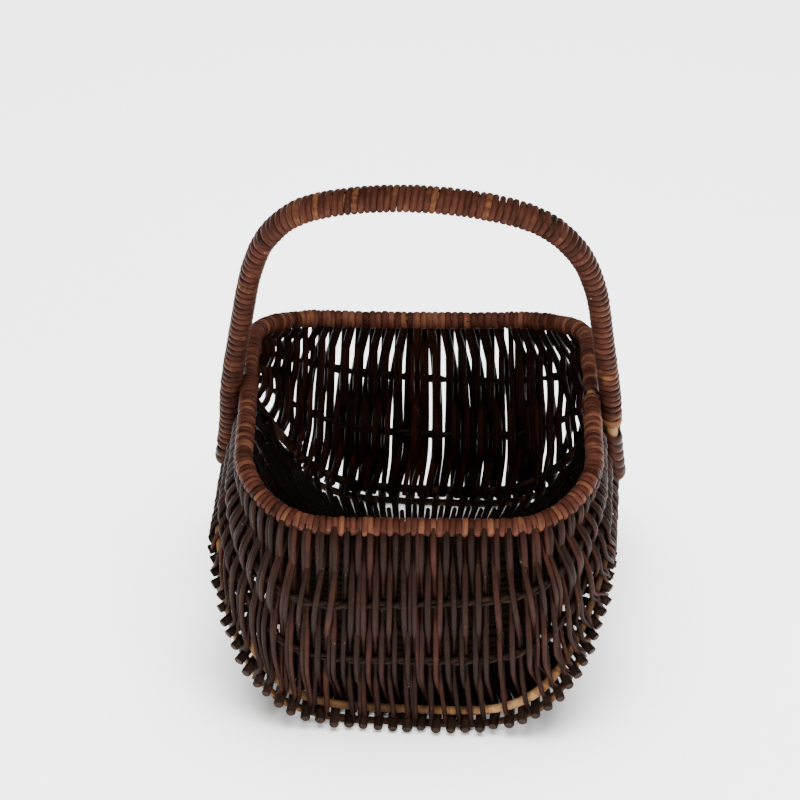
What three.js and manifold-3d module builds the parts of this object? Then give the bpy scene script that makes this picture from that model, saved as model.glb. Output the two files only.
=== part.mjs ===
// Wicker shopping basket with a fixed bow handle, in millimetres, +Z up.
// The origin is on the ground under the middle of the basket, and the front faces -Y.
// Dark willow rods hang from a wrapped rim, weave over two ribs and end at two peeled base hoops.
import * as THREE from "three";
import { mergeVertices } from "three/addons/utils/BufferGeometryUtils.js";
import Module from "manifold-3d";

const wasm = await Module();
wasm.setup();

// Distance by which the base's middle lies behind the middle of the whole box.
const BOX_SHIFT = 4.8;

// Clearances between pieces that touch on the real basket.
const SEAT_GAP = 0.3;
const WEAVE_GAP = 0.8;
const WINDING_GAP = 0.5;

// Rim, measured on its centre line.
const RIM_HALF_WIDTH = 151;
const RIM_HALF_DEPTH = 158;
const RIM_CORNER_RADIUS = 72;
const RIM_SIDE_RISE = 23;
const RIM_RISE_POWER = 5;
const RIM_TWIST_DEGREES = 3;
const RIM_FORWARD = 8;
const RIM_CORE_RADIUS = 4.2;
const RIM_BINDING_THICKNESS = 3.6;
const RIM_THIN_BINDING_THICKNESS = 2.1;
const THIN_STRETCH_LENGTH = 40;
const RIM_SIDES = 8;

// Base hoops, measured on the centre line of the upper one.
const HOOP_HALF_WIDTH = 170;
const HOOP_HALF_DEPTH = 163;
const HOOP_CORNER_RADIUS = 64;
const HOOP_SIDE_RISE = 147;
const HOOP_RISE_POWER = 4.4;
const HOOP_RADIUS = 3.3;
const HOOP_SIDES = 6;
const REST_FLAT_DEPTH = 0.9;

// Walls: rods that weave over two ribs, and bulge a little at the front and back.
const WALL_HEIGHT = 203;
const WALL_BULGE = 11;
const BULGE_SKEW = 0.8;
const WALL_ROD_RADIUS = 2.7;
const WALL_ROD_TIP_RADIUS = 1.9;
const WALL_ROD_SIDES = 4;
const RIB_RADIUS = 2.2;
const RIB_SIDES = 4;
const UPPER_RIB_DOWN = 0.37;
const LOWER_RIB_DOWN = 0.69;
const STRAIGHT_WALL_RODS = 14;
const CORNER_WALL_RODS = 9;
const LEG_SIDE_GAP = 1.5;

// Base: long rods from front to back between the hoops, and cross rods from side to side on top.
const BASE_ROD_RADIUS = 3.4;
const BASE_ROD_SIDES = 4;
const LONG_RODS_PER_SIDE = 13;
const LONG_ROD_REACH = 0.165;
const LONG_ROD_KNEE = 16;
const LONG_ROD_WAIST_X = 150;
const LONG_ROD_WAIST_HALF_LENGTH = 50;
const CROSS_RODS = 9;
const CROSS_ROD_PITCH = 15;
const CROSS_ROD_GAP = 0.8;
const STUB_LENGTH = 13;
const SIDE_STUB_LENGTH = 7;

// Bow handle: a flattened core with a close winding of round rods.
const HANDLE_Y = 0;
const HANDLE_RISE = 224;
const HANDLE_APEX_X = -8;
const HANDLE_CORE_HALF_THICKNESS = 4.6;
const HANDLE_CORE_HALF_WIDTH = 7.5;
const HANDLE_CORE_CORNER = 0.72;
const HANDLE_WINDING_THICKNESS = 3.2;
const HANDLE_FOOT_OUTSET = 4;
const LEFT_SHOULDER_HEIGHT = 150;
const LEFT_SHOULDER_INSET = 22;
const LEFT_SHOULDER_WIDTH = 44;
const LEFT_SHOULDER_DROP = 16;
const RIGHT_SHOULDER_HEIGHT = 142;
const RIGHT_SHOULDER_INSET = 18;
const RIGHT_SHOULDER_WIDTH = 52;
const RIGHT_SHOULDER_DROP = 17;
const LEG_LEAN = 0.45;
const SHOULDER_ROUND_ACROSS = 0.32;
const SHOULDER_ROUND_DOWN = 0.45;
const WINDING_RODS = 5;
const LOOPS_PER_ROD = 24;
const STEPS_PER_LOOP = 8;
const WINDING_FILL = 0.86;
const LEFT_WINDING_BELOW_RIM = 16;
const RIGHT_WINDING_BELOW_RIM = 6;
const HANDLE_STATIONS = 40;

// Heights that follow from the sizes above.
const BINDING_RADIUS = RIM_CORE_RADIUS + SEAT_GAP + RIM_BINDING_THICKNESS;
const THIN_BINDING_RADIUS = RIM_CORE_RADIUS + SEAT_GAP + RIM_THIN_BINDING_THICKNESS;
const LAYER_STEP = HOOP_RADIUS + SEAT_GAP + BASE_ROD_RADIUS;
const LOWER_HOOP_Z = HOOP_RADIUS - REST_FLAT_DEPTH;
const UPPER_HOOP_Z = LOWER_HOOP_Z + 2 * LAYER_STEP;
const RIM_Z = UPPER_HOOP_Z + WALL_HEIGHT;
const HANDLE_HALF_THICKNESS = HANDLE_CORE_HALF_THICKNESS + WINDING_GAP + HANDLE_WINDING_THICKNESS;
const HANDLE_HALF_WIDTH = HANDLE_CORE_HALF_WIDTH + WINDING_GAP + HANDLE_WINDING_THICKNESS;

const RIM = { halfWidth: RIM_HALF_WIDTH, halfDepth: RIM_HALF_DEPTH, corner: RIM_CORNER_RADIUS };
const HOOP = { halfWidth: HOOP_HALF_WIDTH, halfDepth: HOOP_HALF_DEPTH, corner: HOOP_CORNER_RADIUS };

const ACROSS = new THREE.Vector3(0, 1, 0);
const UPWARD = new THREE.Vector3(0, 0, 1);
const RIM_TWIST = THREE.MathUtils.degToRad(RIM_TWIST_DEGREES);

// Materials.
function finish(colour, roughness) {
  return new THREE.MeshStandardMaterial({ color: colour, roughness, metalness: 0 });
}
const finishes = {
  bark: () => finish(0x4a2a20, 0.55),
  handle: () => finish(0x5a2e22, 0.5),
  peeled: () => finish(0xc89a68, 0.7),
  rib: () => finish(0x33201a, 0.65),
  butt: () => finish(0x43302a, 0.6),
};

// Plan of a rounded rectangle: the point at a share of its girth, from the front middle towards +X.
function quarterLengths(plan) {
  const front = plan.halfWidth - plan.corner;
  const arc = (Math.PI / 2) * plan.corner;
  const side = plan.halfDepth - plan.corner;
  return { front, arc, side, total: front + arc + side };
}

function quarterPoint(plan, along) {
  const { front, arc } = quarterLengths(plan);
  const cornerX = plan.halfWidth - plan.corner;
  const cornerY = plan.halfDepth - plan.corner;
  if (along <= front) return { x: along, y: -plan.halfDepth, nx: 0, ny: -1 };
  if (along <= front + arc) {
    const angle = (along - front) / plan.corner;
    const nx = Math.sin(angle);
    const ny = -Math.cos(angle);
    return { x: cornerX + plan.corner * nx, y: -cornerY + plan.corner * ny, nx, ny };
  }
  return { x: plan.halfWidth, y: -cornerY + (along - front - arc), nx: 1, ny: 0 };
}

function planPoint(plan, share) {
  const turn = share - Math.floor(share);
  const total = quarterLengths(plan).total;
  const quarter = Math.floor(turn * 4) % 4;
  const along = (turn * 4 - quarter) * total;
  const mirrored = quarter % 2 === 1;
  const p = quarterPoint(plan, mirrored ? total - along : along);
  const signX = quarter < 2 ? 1 : -1;
  const signY = quarter === 0 || quarter === 3 ? 1 : -1;
  return { x: p.x * signX, y: p.y * signY, nx: p.nx * signX, ny: p.ny * signY };
}

// The rim sits a little ahead of the base and turned against it.
function rimPoint(share) {
  const p = planPoint(RIM, share);
  const rise = RIM_SIDE_RISE * Math.abs(p.x / RIM_HALF_WIDTH) ** RIM_RISE_POWER;
  const point = new THREE.Vector3(p.x, p.y, RIM_Z + rise).applyAxisAngle(UPWARD, RIM_TWIST);
  point.y -= RIM_FORWARD;
  return { point, out: new THREE.Vector3(p.nx, p.ny, 0).applyAxisAngle(UPWARD, RIM_TWIST) };
}

function onRimSide(share) {
  return Math.abs(planPoint(RIM, share).x) > RIM_HALF_WIDTH - SEAT_GAP;
}

function hoopHeight(x) {
  const reach = Math.min(Math.abs(x) / HOOP_HALF_WIDTH, 1);
  return UPPER_HOOP_Z + HOOP_SIDE_RISE * reach ** HOOP_RISE_POWER;
}

function hoopPoint(share) {
  const p = planPoint(HOOP, share);
  const point = new THREE.Vector3(p.x, p.y, hoopHeight(p.x));
  return { point, out: new THREE.Vector3(p.nx, p.ny, 0) };
}

// A rod's foot lies ahead of its head by the rim's twist, so that the rod stands upright.
function footShare(share) {
  return share + RIM_TWIST / (2 * Math.PI);
}

// The middle surface of the wall: down is 0 at the rim and 1 at the upper base hoop.
function wallPoint(share, down) {
  const top = rimPoint(share);
  const foot = hoopPoint(footShare(share));
  const out = top.out.clone().lerp(foot.out, down).normalize();
  const bulge = WALL_BULGE * Math.sin(Math.PI * down ** BULGE_SKEW) * out.y ** 2;
  const point = top.point.clone().lerp(foot.point, down).addScaledVector(out, bulge);
  return { point, out };
}

// Stations round the basket that every hoop, rib and binding shares, so that they stay parallel.
const FRONT_END = quarterLengths(RIM).front / quarterLengths(RIM).total / 4;
const CORNER_END = FRONT_END + quarterLengths(RIM).arc / quarterLengths(RIM).total / 4;
const FRONT_STEPS = 3;
const CORNER_STEPS = 5;
const SIDE_STEPS = 2;

function splitRange(from, to, steps) {
  return Array.from({ length: steps }, (_, i) => from + ((to - from) * i) / steps);
}

const QUARTER = 0.25;
const quarterStations = [
  ...splitRange(0, FRONT_END, FRONT_STEPS),
  ...splitRange(FRONT_END, CORNER_END, CORNER_STEPS),
  ...splitRange(CORNER_END, QUARTER, SIDE_STEPS),
];
const STATIONS_PER_QUARTER = quarterStations.length;
const STATION_COUNT = 4 * STATIONS_PER_QUARTER;
const STATION_SHARE_STEP = 1 / STATION_COUNT;

function stationShare(index) {
  const turns = Math.floor(index / STATION_COUNT);
  const local = index - turns * STATION_COUNT;
  const quarter = Math.floor(local / STATIONS_PER_QUARTER);
  const step = local % STATIONS_PER_QUARTER;
  const forward = quarter % 2 === 0;
  const share = forward
    ? quarter * QUARTER + quarterStations[step]
    : (quarter + 1) * QUARTER - (step === 0 ? QUARTER : quarterStations[STATIONS_PER_QUARTER - step]);
  return share + turns;
}

const stationShares = Array.from({ length: STATION_COUNT + 1 }, (_, i) => stationShare(i));

// A point on the straight facets between stations, for pieces that must clear those facets.
function facetPoint(at, share, down) {
  const turn = share - Math.floor(share);
  const next = stationShares.findIndex((s) => s > turn);
  const from = stationShares[next - 1];
  const to = stationShares[next];
  const a = at(from, down);
  const b = at(to, down);
  const blend = (turn - from) / (to - from);
  const chord = b.point.clone().sub(a.point);
  const out = new THREE.Vector3(chord.y, -chord.x, 0).normalize();
  return { point: a.point.clone().lerp(b.point, blend), out, chord: chord.normalize() };
}

// Skin over a row of rings, closed at both ends or joined end to end.
function skin(rings, joined = false) {
  const sides = rings[0].length;
  const points = rings.flat().flatMap((p) => [p.x, p.y, p.z]);
  const faces = [];
  const spans = joined ? rings.length : rings.length - 1;
  for (let i = 0; i < spans; i += 1) {
    const a = i * sides;
    const b = ((i + 1) % rings.length) * sides;
    for (let k = 0; k < sides; k += 1) {
      const n = (k + 1) % sides;
      faces.push(a + k, a + n, b + n, a + k, b + n, b + k);
    }
  }
  if (!joined) {
    const last = (rings.length - 1) * sides;
    for (let k = 1; k < sides - 1; k += 1) {
      faces.push(0, k + 1, k, last, last + k, last + k + 1);
    }
  }
  const geometry = new THREE.BufferGeometry();
  geometry.setAttribute("position", new THREE.Float32BufferAttribute(points, 3));
  geometry.setIndex(faces);
  return outward(geometry);
}

// A skin wound the wrong way round is turned over.
function outward(geometry) {
  const p = geometry.getAttribute("position");
  const index = geometry.index.array;
  const a = new THREE.Vector3();
  const b = new THREE.Vector3();
  const c = new THREE.Vector3();
  let volume = 0;
  for (let i = 0; i < index.length; i += 3) {
    a.fromBufferAttribute(p, index[i]);
    b.fromBufferAttribute(p, index[i + 1]);
    c.fromBufferAttribute(p, index[i + 2]);
    volume += a.dot(b.cross(c));
  }
  if (volume < 0) geometry.setIndex(Array.from(index).reverse());
  return geometry;
}

// A regular ring square to a direction, with its first point on the side that out names.
function roundRing(centre, along, out, radius, sides) {
  const across = out.clone().addScaledVector(along, -out.dot(along)).normalize();
  const other = along.clone().cross(across);
  return Array.from({ length: sides }, (_, k) => {
    const angle = (2 * Math.PI * k) / sides;
    return centre
      .clone()
      .addScaledVector(across, radius * Math.cos(angle))
      .addScaledVector(other, radius * Math.sin(angle));
  });
}

function direction(points, i) {
  const before = points[Math.max(i - 1, 0)];
  const after = points[Math.min(i + 1, points.length - 1)];
  return after.clone().sub(before).normalize();
}

// A rod through a list of points, with a radius and a facing side for each.
function rod(points, radii, outs, sides) {
  return skin(points.map((p, i) => roundRing(p, direction(points, i), outs[i], radii[i], sides)));
}

// Stations of a closed hoop: a centre, a direction and an outward side for each.
function hoopStations(at) {
  const spots = stationShares.slice(0, STATION_COUNT).map((share) => at(share));
  return spots.map((spot, i) => {
    const before = spots[(i + STATION_COUNT - 1) % STATION_COUNT].point;
    const after = spots[(i + 1) % STATION_COUNT].point;
    return { point: spot.point, out: spot.out, along: after.clone().sub(before).normalize() };
  });
}

function closedHoop(at, radius, sides) {
  const rings = hoopStations(at).map((s) => roundRing(s.point, s.along, s.out, radius, sides));
  return skin(rings, true);
}

// Solids for joining and cutting.
function toSolid(geometry) {
  const bare = geometry.clone();
  bare.deleteAttribute("normal");
  bare.deleteAttribute("uv");
  const merged = mergeVertices(bare, 1e-4);
  return new wasm.Manifold(
    new wasm.Mesh({
      numProp: 3,
      vertProperties: merged.getAttribute("position").array,
      triVerts: new Uint32Array(merged.index.array),
    }),
  );
}

function toGeometry(solid) {
  const mesh = solid.getMesh();
  const geometry = new THREE.BufferGeometry();
  const points = new Float32Array(mesh.numVert * 3);
  for (let i = 0; i < mesh.numVert; i += 1) {
    for (let k = 0; k < 3; k += 1) points[3 * i + k] = mesh.vertProperties[mesh.numProp * i + k];
  }
  geometry.setAttribute("position", new THREE.BufferAttribute(points, 3));
  geometry.setIndex(new THREE.BufferAttribute(new Uint32Array(mesh.triVerts), 1));
  return geometry;
}

const basket = new THREE.Group();
basket.name = "wicker_shopping_basket";

// Every piece moves back together, so that the basket's box stands over the origin.
function addPiece(parent, name, geometry, material) {
  const mesh = new THREE.Mesh(geometry.translate(0, BOX_SHIFT, 0), material);
  mesh.name = name;
  parent.add(mesh);
  return mesh;
}

// Rim core: one stout rod bent into a closed hoop.
const rim = new THREE.Group();
basket.add(rim);
addPiece(rim, "rim_core", closedHoop(rimPoint, RIM_CORE_RADIUS, RIM_SIDES), finishes.peeled());

// Wall panels: the rods of a panel and the stretch of rim binding that their tips make.
const walls = new THREE.Group();
basket.add(walls);
const rimStations = hoopStations(rimPoint);
const BORE_RADIUS = (RIM_CORE_RADIUS + SEAT_GAP) / Math.cos(Math.PI / RIM_SIDES);
const LEG_ZONE = HANDLE_HALF_WIDTH + WALL_ROD_RADIUS + LEG_SIDE_GAP;

function bindingRadius(share) {
  const past = rimPoint(share).point.y - HANDLE_Y - HANDLE_HALF_WIDTH;
  const thin = onRimSide(share) && past > 0 && past < THIN_STRETCH_LENGTH;
  return thin ? THIN_BINDING_RADIUS : BINDING_RADIUS;
}

// Rings of the binding from one station to another, drawn back at the ends by half a seat gap.
function bindingRings(first, last, radiusAt) {
  const rings = [];
  for (let i = first; i <= last; i += 1) {
    const s = rimStations[(i + STATION_COUNT) % STATION_COUNT];
    const inward = i === first ? SEAT_GAP / 2 : 0;
    const back = i === last ? -SEAT_GAP / 2 : 0;
    const centre = s.point.clone().addScaledVector(s.along, inward + back);
    rings.push(roundRing(centre, s.along, s.out, radiusAt(stationShare(i)), RIM_SIDES));
  }
  return rings;
}

function stretchedEnds(rings) {
  const first = rings[0].map((p, k) => p.clone().multiplyScalar(2).sub(rings[1][k]));
  const before = rings[rings.length - 2];
  const last = rings[rings.length - 1].map((p, k) => p.clone().multiplyScalar(2).sub(before[k]));
  return [first, ...rings, last];
}

// Which way the base layers step at a share: square to the hoop and to the rods that cross it.
function layerDirection(share) {
  const { out, chord } = facetPoint(hoopPoint, share, 1);
  const step = out.clone().cross(chord).normalize();
  return step.z > 0 ? step.negate() : step;
}

// How far a rod stands off what it crosses, so that it clears it on its slope to the next crossing.
function weaveReach(radii, span, nextReach = radii + WEAVE_GAP) {
  const square = radii + WEAVE_GAP;
  const slope = (square + nextReach) / span;
  return square * Math.hypot(1, slope + (square * slope) / span);
}

// One wall rod: side is 1 for a rod that starts outside the rim and -1 for one that starts inside.
function wallRod(share, side) {
  const rimAt = facetPoint(rimPoint, share);
  const start = bindingRadius(share) - WALL_ROD_RADIUS - SEAT_GAP / 2;
  const upperRib = facetPoint(wallPoint, share, UPPER_RIB_DOWN);
  const lowerRib = facetPoint(wallPoint, share, LOWER_RIB_DOWN);
  const foot = facetPoint(hoopPoint, footShare(share), 1);
  const rise = Math.min(upperRib.point.z - lowerRib.point.z, lowerRib.point.z - foot.point.z);
  const ribReach = weaveReach(RIB_RADIUS + WALL_ROD_RADIUS, rise);
  const span = lowerRib.point.clone().sub(foot.point).cross(foot.chord).length();
  const hoopReach = weaveReach(HOOP_RADIUS + WALL_ROD_TIP_RADIUS, span, ribReach);
  const step = layerDirection(footShare(share));
  const flat = Math.hypot(step.x, step.y);
  const drop = Math.max(HOOP_RADIUS - SEAT_GAP - WALL_ROD_TIP_RADIUS * flat, SEAT_GAP);
  const points = [
    rimAt.point.clone().addScaledVector(rimAt.out, side * start),
    upperRib.point.clone().addScaledVector(upperRib.out, -side * ribReach),
    lowerRib.point.clone().addScaledVector(lowerRib.out, side * ribReach),
    foot.point.clone().addScaledVector(foot.out, -side * hoopReach),
    foot.point.clone().addScaledVector(foot.out, -side * hoopReach).addScaledVector(step, drop),
  ];
  const radii = [
    WALL_ROD_RADIUS,
    WALL_ROD_RADIUS,
    WALL_ROD_RADIUS,
    WALL_ROD_TIP_RADIUS,
    WALL_ROD_TIP_RADIUS,
  ];
  const outs = points.map(() => rimAt.out);
  return rod(points, radii, outs, WALL_ROD_SIDES);
}

function besideLeg(share) {
  const ends = [rimPoint(share).point, hoopPoint(footShare(share)).point];
  return onRimSide(share) && ends.some((end) => Math.abs(end.y - HANDLE_Y) < LEG_ZONE);
}

function wallPanel(first, last, rodCount) {
  const from = first < 0 ? stationShare(first + STATION_COUNT) - 1 : stationShare(first);
  const to = stationShare(last);
  let solid = toSolid(skin(bindingRings(first, last, bindingRadius)));
  for (let i = 0; i < rodCount; i += 1) {
    const share = from + ((i + 0.5) / rodCount) * (to - from);
    if (!besideLeg(share)) solid = solid.add(toSolid(wallRod(share, i % 2 === 0 ? 1 : -1)));
  }
  const bore = skin(stretchedEnds(bindingRings(first, last, () => BORE_RADIUS)));
  return toGeometry(solid.subtract(toSolid(bore)));
}

// The stations where the front wall ends and where a side wall starts, and the back middle.
const FRONT_STATION = FRONT_STEPS;
const SIDE_STATION = FRONT_STEPS + CORNER_STEPS;
const BACK = 2 * STATIONS_PER_QUARTER;
const panels = [
  ["front_wall", -FRONT_STATION, FRONT_STATION, STRAIGHT_WALL_RODS],
  ["front_right_corner_wall", FRONT_STATION, SIDE_STATION, CORNER_WALL_RODS],
  ["right_wall", SIDE_STATION, BACK - SIDE_STATION, STRAIGHT_WALL_RODS],
  ["back_right_corner_wall", BACK - SIDE_STATION, BACK - FRONT_STATION, CORNER_WALL_RODS],
  ["back_wall", BACK - FRONT_STATION, BACK + FRONT_STATION, STRAIGHT_WALL_RODS],
  ["back_left_corner_wall", BACK + FRONT_STATION, BACK + SIDE_STATION, CORNER_WALL_RODS],
  ["left_wall", BACK + SIDE_STATION, STATION_COUNT - SIDE_STATION, STRAIGHT_WALL_RODS],
  ["front_left_corner_wall", STATION_COUNT - SIDE_STATION, STATION_COUNT - FRONT_STATION, CORNER_WALL_RODS],
];
for (const [name, first, last, rodCount] of panels) {
  addPiece(walls, name, wallPanel(first, last, rodCount), finishes.bark());
}

// Ribs: two thin hoops inside the weave.
const upperRibAt = (share) => wallPoint(share, UPPER_RIB_DOWN);
const lowerRibAt = (share) => wallPoint(share, LOWER_RIB_DOWN);
addPiece(walls, "upper_rib", closedHoop(upperRibAt, RIB_RADIUS, RIB_SIDES), finishes.rib());
addPiece(walls, "lower_rib", closedHoop(lowerRibAt, RIB_RADIUS, RIB_SIDES), finishes.rib());

// Base hoops: the upper one inside the stubs and the lower one under them, flat where it stands.
const base = new THREE.Group();
basket.add(base);

function lowerHoopPoint(share) {
  const spot = hoopPoint(share);
  const before = hoopPoint(share - STATION_SHARE_STEP).point;
  const along = hoopPoint(share + STATION_SHARE_STEP).point.sub(before).normalize();
  const step = spot.out.clone().cross(along).normalize();
  if (step.z > 0) step.negate();
  return { point: spot.point.clone().addScaledVector(step, 2 * LAYER_STEP), out: spot.out };
}

function flatBottomed(geometry) {
  const size = 4 * HOOP_HALF_WIDTH;
  const ground = new THREE.BoxGeometry(size, size, size);
  ground.translate(0, 0, -size / 2);
  return toGeometry(toSolid(geometry).subtract(toSolid(ground)));
}

const upperHoop = closedHoop(hoopPoint, HOOP_RADIUS, HOOP_SIDES);
const lowerHoop = flatBottomed(closedHoop(lowerHoopPoint, HOOP_RADIUS, HOOP_SIDES));
addPiece(base, "upper_base_hoop", upperHoop, finishes.peeled());
addPiece(base, "lower_base_hoop", lowerHoop, finishes.peeled());

// Long base rods: from a stub at the front, between the hoops and over the trough, to a back stub.
const TROUGH_STEPS = 60;
const troughProfile = Array.from({ length: TROUGH_STEPS + 1 }, (_, i) => {
  const x = (LONG_ROD_WAIST_X * i) / TROUGH_STEPS;
  return new THREE.Vector3(x, 0, hoopHeight(x) - LAYER_STEP);
});
const troughLengths = troughProfile.map(() => 0);
for (let i = 1; i <= TROUGH_STEPS; i += 1) {
  troughLengths[i] = troughLengths[i - 1] + troughProfile[i].distanceTo(troughProfile[i - 1]);
}

// The waists of the long rods lie at equal steps over the trough of the base.
function waistPoint(index) {
  const wanted = (Math.abs(index) / LONG_RODS_PER_SIDE) * troughLengths[TROUGH_STEPS];
  const next = Math.max(troughLengths.findIndex((length) => length >= wanted), 1);
  const from = troughLengths[next - 1];
  const blend = (wanted - from) / (troughLengths[next] - from);
  const spot = troughProfile[next - 1].clone().lerp(troughProfile[next], blend);
  return new THREE.Vector3(spot.x * Math.sign(index), -LONG_ROD_WAIST_HALF_LENGTH, spot.z);
}

// Stubs are short at the sides and grow to their full length round the corners.
function stubLength(out) {
  return SIDE_STUB_LENGTH + (STUB_LENGTH - SIDE_STUB_LENGTH) * out.y ** 2;
}

function longRodHalf(index) {
  const share = (LONG_ROD_REACH * index) / LONG_RODS_PER_SIDE;
  const foot = facetPoint(hoopPoint, share, 1);
  const layer = layerDirection(share);
  const crossing = foot.point.clone().addScaledVector(layer, LAYER_STEP);
  return {
    layer,
    stub: crossing.clone().addScaledVector(foot.out, stubLength(foot.out)),
    crossing,
    knee: crossing.clone().addScaledVector(foot.out, -LONG_ROD_KNEE),
    waist: waistPoint(index),
  };
}

function mirroredY(p) {
  return new THREE.Vector3(p.x, -p.y, p.z);
}

function longRod(index) {
  const half = longRodHalf(index);
  const front = [half.stub, half.crossing, half.knee, half.waist];
  const path = [...front, ...front.map(mirroredY).reverse()];
  const outs = path.map((p) => (p.y < 0 ? half.layer : mirroredY(half.layer)));
  const radii = path.map(() => BASE_ROD_RADIUS);
  return rod(path, radii, outs, BASE_ROD_SIDES);
}

for (let i = -LONG_RODS_PER_SIDE; i <= LONG_RODS_PER_SIDE; i += 1) {
  const name = `long_base_rod_${String(i + LONG_RODS_PER_SIDE + 1).padStart(2, "0")}`;
  addPiece(base, name, longRod(i), finishes.butt());
}

// Cross base rods: over the long rods from one side hoop to the other.
// A cross rod bears on the long rods at these shares of the count on one side, then mirrored.
const SUPPORT_SHARES = [1, 0.92, 0.77, 0.62, 0.38, 0];
const rightSupports = SUPPORT_SHARES.map((share) => Math.round(share * LONG_RODS_PER_SIDE));
const leftSupports = rightSupports.slice(0, -1).map((index) => -index);
const CROSS_ROD_SUPPORTS = [...rightSupports, ...leftSupports.reverse()];

function longRodSpot(index, y) {
  const half = longRodHalf(index);
  const past = Math.abs(y) - LONG_ROD_WAIST_HALF_LENGTH;
  const blend = Math.min(Math.max(past / (-half.knee.y - LONG_ROD_WAIST_HALF_LENGTH), 0), 1);
  return half.waist.clone().lerp(half.knee, blend).setY(y);
}

function crossRod(y) {
  const sideZ = hoopHeight(HOOP_HALF_WIDTH) - LAYER_STEP;
  const insideHoop = HOOP_HALF_WIDTH - LAYER_STEP;
  const stub = (side) => new THREE.Vector3(side * (HOOP_HALF_WIDTH + SIDE_STUB_LENGTH), y, sideZ);
  const shoulder = (side) => new THREE.Vector3(side * insideHoop, y, sideZ);
  const supports = CROSS_ROD_SUPPORTS.map((index) => longRodSpot(index, y));
  const low = [shoulder(1), ...supports, shoulder(-1)];
  const lifted = supports.map((p, i) => {
    const along = direction(low, i + 1);
    const inward = new THREE.Vector3(along.z, 0, -along.x);
    if (inward.z < 0) inward.negate();
    return p.clone().addScaledVector(inward, 2 * BASE_ROD_RADIUS + CROSS_ROD_GAP);
  });
  const path = [stub(1), shoulder(1), ...lifted, shoulder(-1), stub(-1)];
  const radii = path.map(() => BASE_ROD_RADIUS);
  const outs = path.map(() => ACROSS);
  return rod(path, radii, outs, BASE_ROD_SIDES);
}

for (let i = 0; i < CROSS_RODS; i += 1) {
  const y = (i - (CROSS_RODS - 1) / 2) * CROSS_ROD_PITCH;
  const name = `cross_base_rod_${String(i + 1).padStart(2, "0")}`;
  addPiece(base, name, crossRod(y), finishes.butt());
}

// Handle: the bow runs from one side of the upper base hoop, past the rim, to the other.
const handle = new THREE.Group();
basket.add(handle);
const SIDE_HOOP_TOP = hoopHeight(HOOP_HALF_WIDTH) + HOOP_RADIUS + SEAT_GAP;
const SIDE_RIM_Z = RIM_Z + RIM_SIDE_RISE;
const LEG_X = RIM_HALF_WIDTH + BINDING_RADIUS + SEAT_GAP + HANDLE_HALF_THICKNESS;

function handleSide(side, height, inset, width, drop) {
  const at = (x, z) => new THREE.Vector3(side * x, HANDLE_Y, z);
  const shoulderX = LEG_X - inset;
  const crownX = shoulderX - width;
  const crownZ = RIM_Z + HANDLE_RISE - drop;
  return [
    at(HOOP_HALF_WIDTH + HANDLE_FOOT_OUTSET, SIDE_HOOP_TOP),
    at(LEG_X + HANDLE_FOOT_OUTSET / 2, (SIDE_HOOP_TOP + SIDE_RIM_Z) / 2),
    at(LEG_X, SIDE_RIM_Z),
    at(LEG_X - inset * LEG_LEAN, (SIDE_RIM_Z + RIM_Z + height) / 2),
    at(shoulderX, RIM_Z + height),
    at(
      shoulderX - width * SHOULDER_ROUND_ACROSS,
      crownZ - (crownZ - RIM_Z - height) * SHOULDER_ROUND_DOWN,
    ),
    at(crownX, crownZ),
  ];
}

const leftSide = handleSide(
  -1,
  LEFT_SHOULDER_HEIGHT,
  LEFT_SHOULDER_INSET,
  LEFT_SHOULDER_WIDTH,
  LEFT_SHOULDER_DROP,
);
const rightSide = handleSide(
  1,
  RIGHT_SHOULDER_HEIGHT,
  RIGHT_SHOULDER_INSET,
  RIGHT_SHOULDER_WIDTH,
  RIGHT_SHOULDER_DROP,
);
const apex = new THREE.Vector3(HANDLE_APEX_X, HANDLE_Y, RIM_Z + HANDLE_RISE);
const bow = new THREE.CatmullRomCurve3([...leftSide, apex, ...rightSide.reverse()]);

// Corner points of the flattened core, as a thickness along the bow's normal and a width along Y.
const coreSection = [
  [1, 0],
  [HANDLE_CORE_CORNER, HANDLE_CORE_CORNER],
  [0, 1],
  [-HANDLE_CORE_CORNER, HANDLE_CORE_CORNER],
  [-1, 0],
  [-HANDLE_CORE_CORNER, -HANDLE_CORE_CORNER],
  [0, -1],
  [HANDLE_CORE_CORNER, -HANDLE_CORE_CORNER],
];

const bowStations = Array.from({ length: HANDLE_STATIONS + 1 }, (_, i) => {
  const u = i / HANDLE_STATIONS;
  const along = bow.getTangentAt(u);
  return { centre: bow.getPointAt(u), normal: new THREE.Vector3(-along.z, 0, along.x) };
});
const BOW_LENGTH = bow.getLength();

// A point on the bow's facets: height is how far it stands off the core.
function bowSpot(length, corner, height) {
  const place = Math.min(Math.max(length / BOW_LENGTH, 0), 1) * HANDLE_STATIONS;
  const i = Math.min(Math.floor(place), HANDLE_STATIONS - 1);
  const blend = place - i;
  const [thick, wide] = coreSection[corner % coreSection.length];
  const ends = [bowStations[i], bowStations[i + 1]].map(({ centre, normal }) =>
    centre
      .clone()
      .addScaledVector(normal, thick * (HANDLE_CORE_HALF_THICKNESS + height))
      .add(new THREE.Vector3(0, wide * (HANDLE_CORE_HALF_WIDTH + height), 0)),
  );
  return ends[0].lerp(ends[1], blend);
}

const coreRings = bowStations.map((_, i) =>
  coreSection.map((__, k) => bowSpot((i * BOW_LENGTH) / HANDLE_STATIONS, k, 0)),
);
addPiece(handle, "handle_core", skin(coreRings), finishes.peeled());

// Handle winding: rods laid in close turns, each one unbroken, one after another along the bow.
const BOW_SEARCH_STEPS = 400;

function bowLengthAtHeight(side, z) {
  for (let i = 0; i <= BOW_SEARCH_STEPS; i += 1) {
    const u = side < 0 ? i / BOW_SEARCH_STEPS : 1 - i / BOW_SEARCH_STEPS;
    if (bow.getPointAt(u).z >= z) return u * BOW_LENGTH;
  }
  return side < 0 ? 0 : BOW_LENGTH;
}

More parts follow.
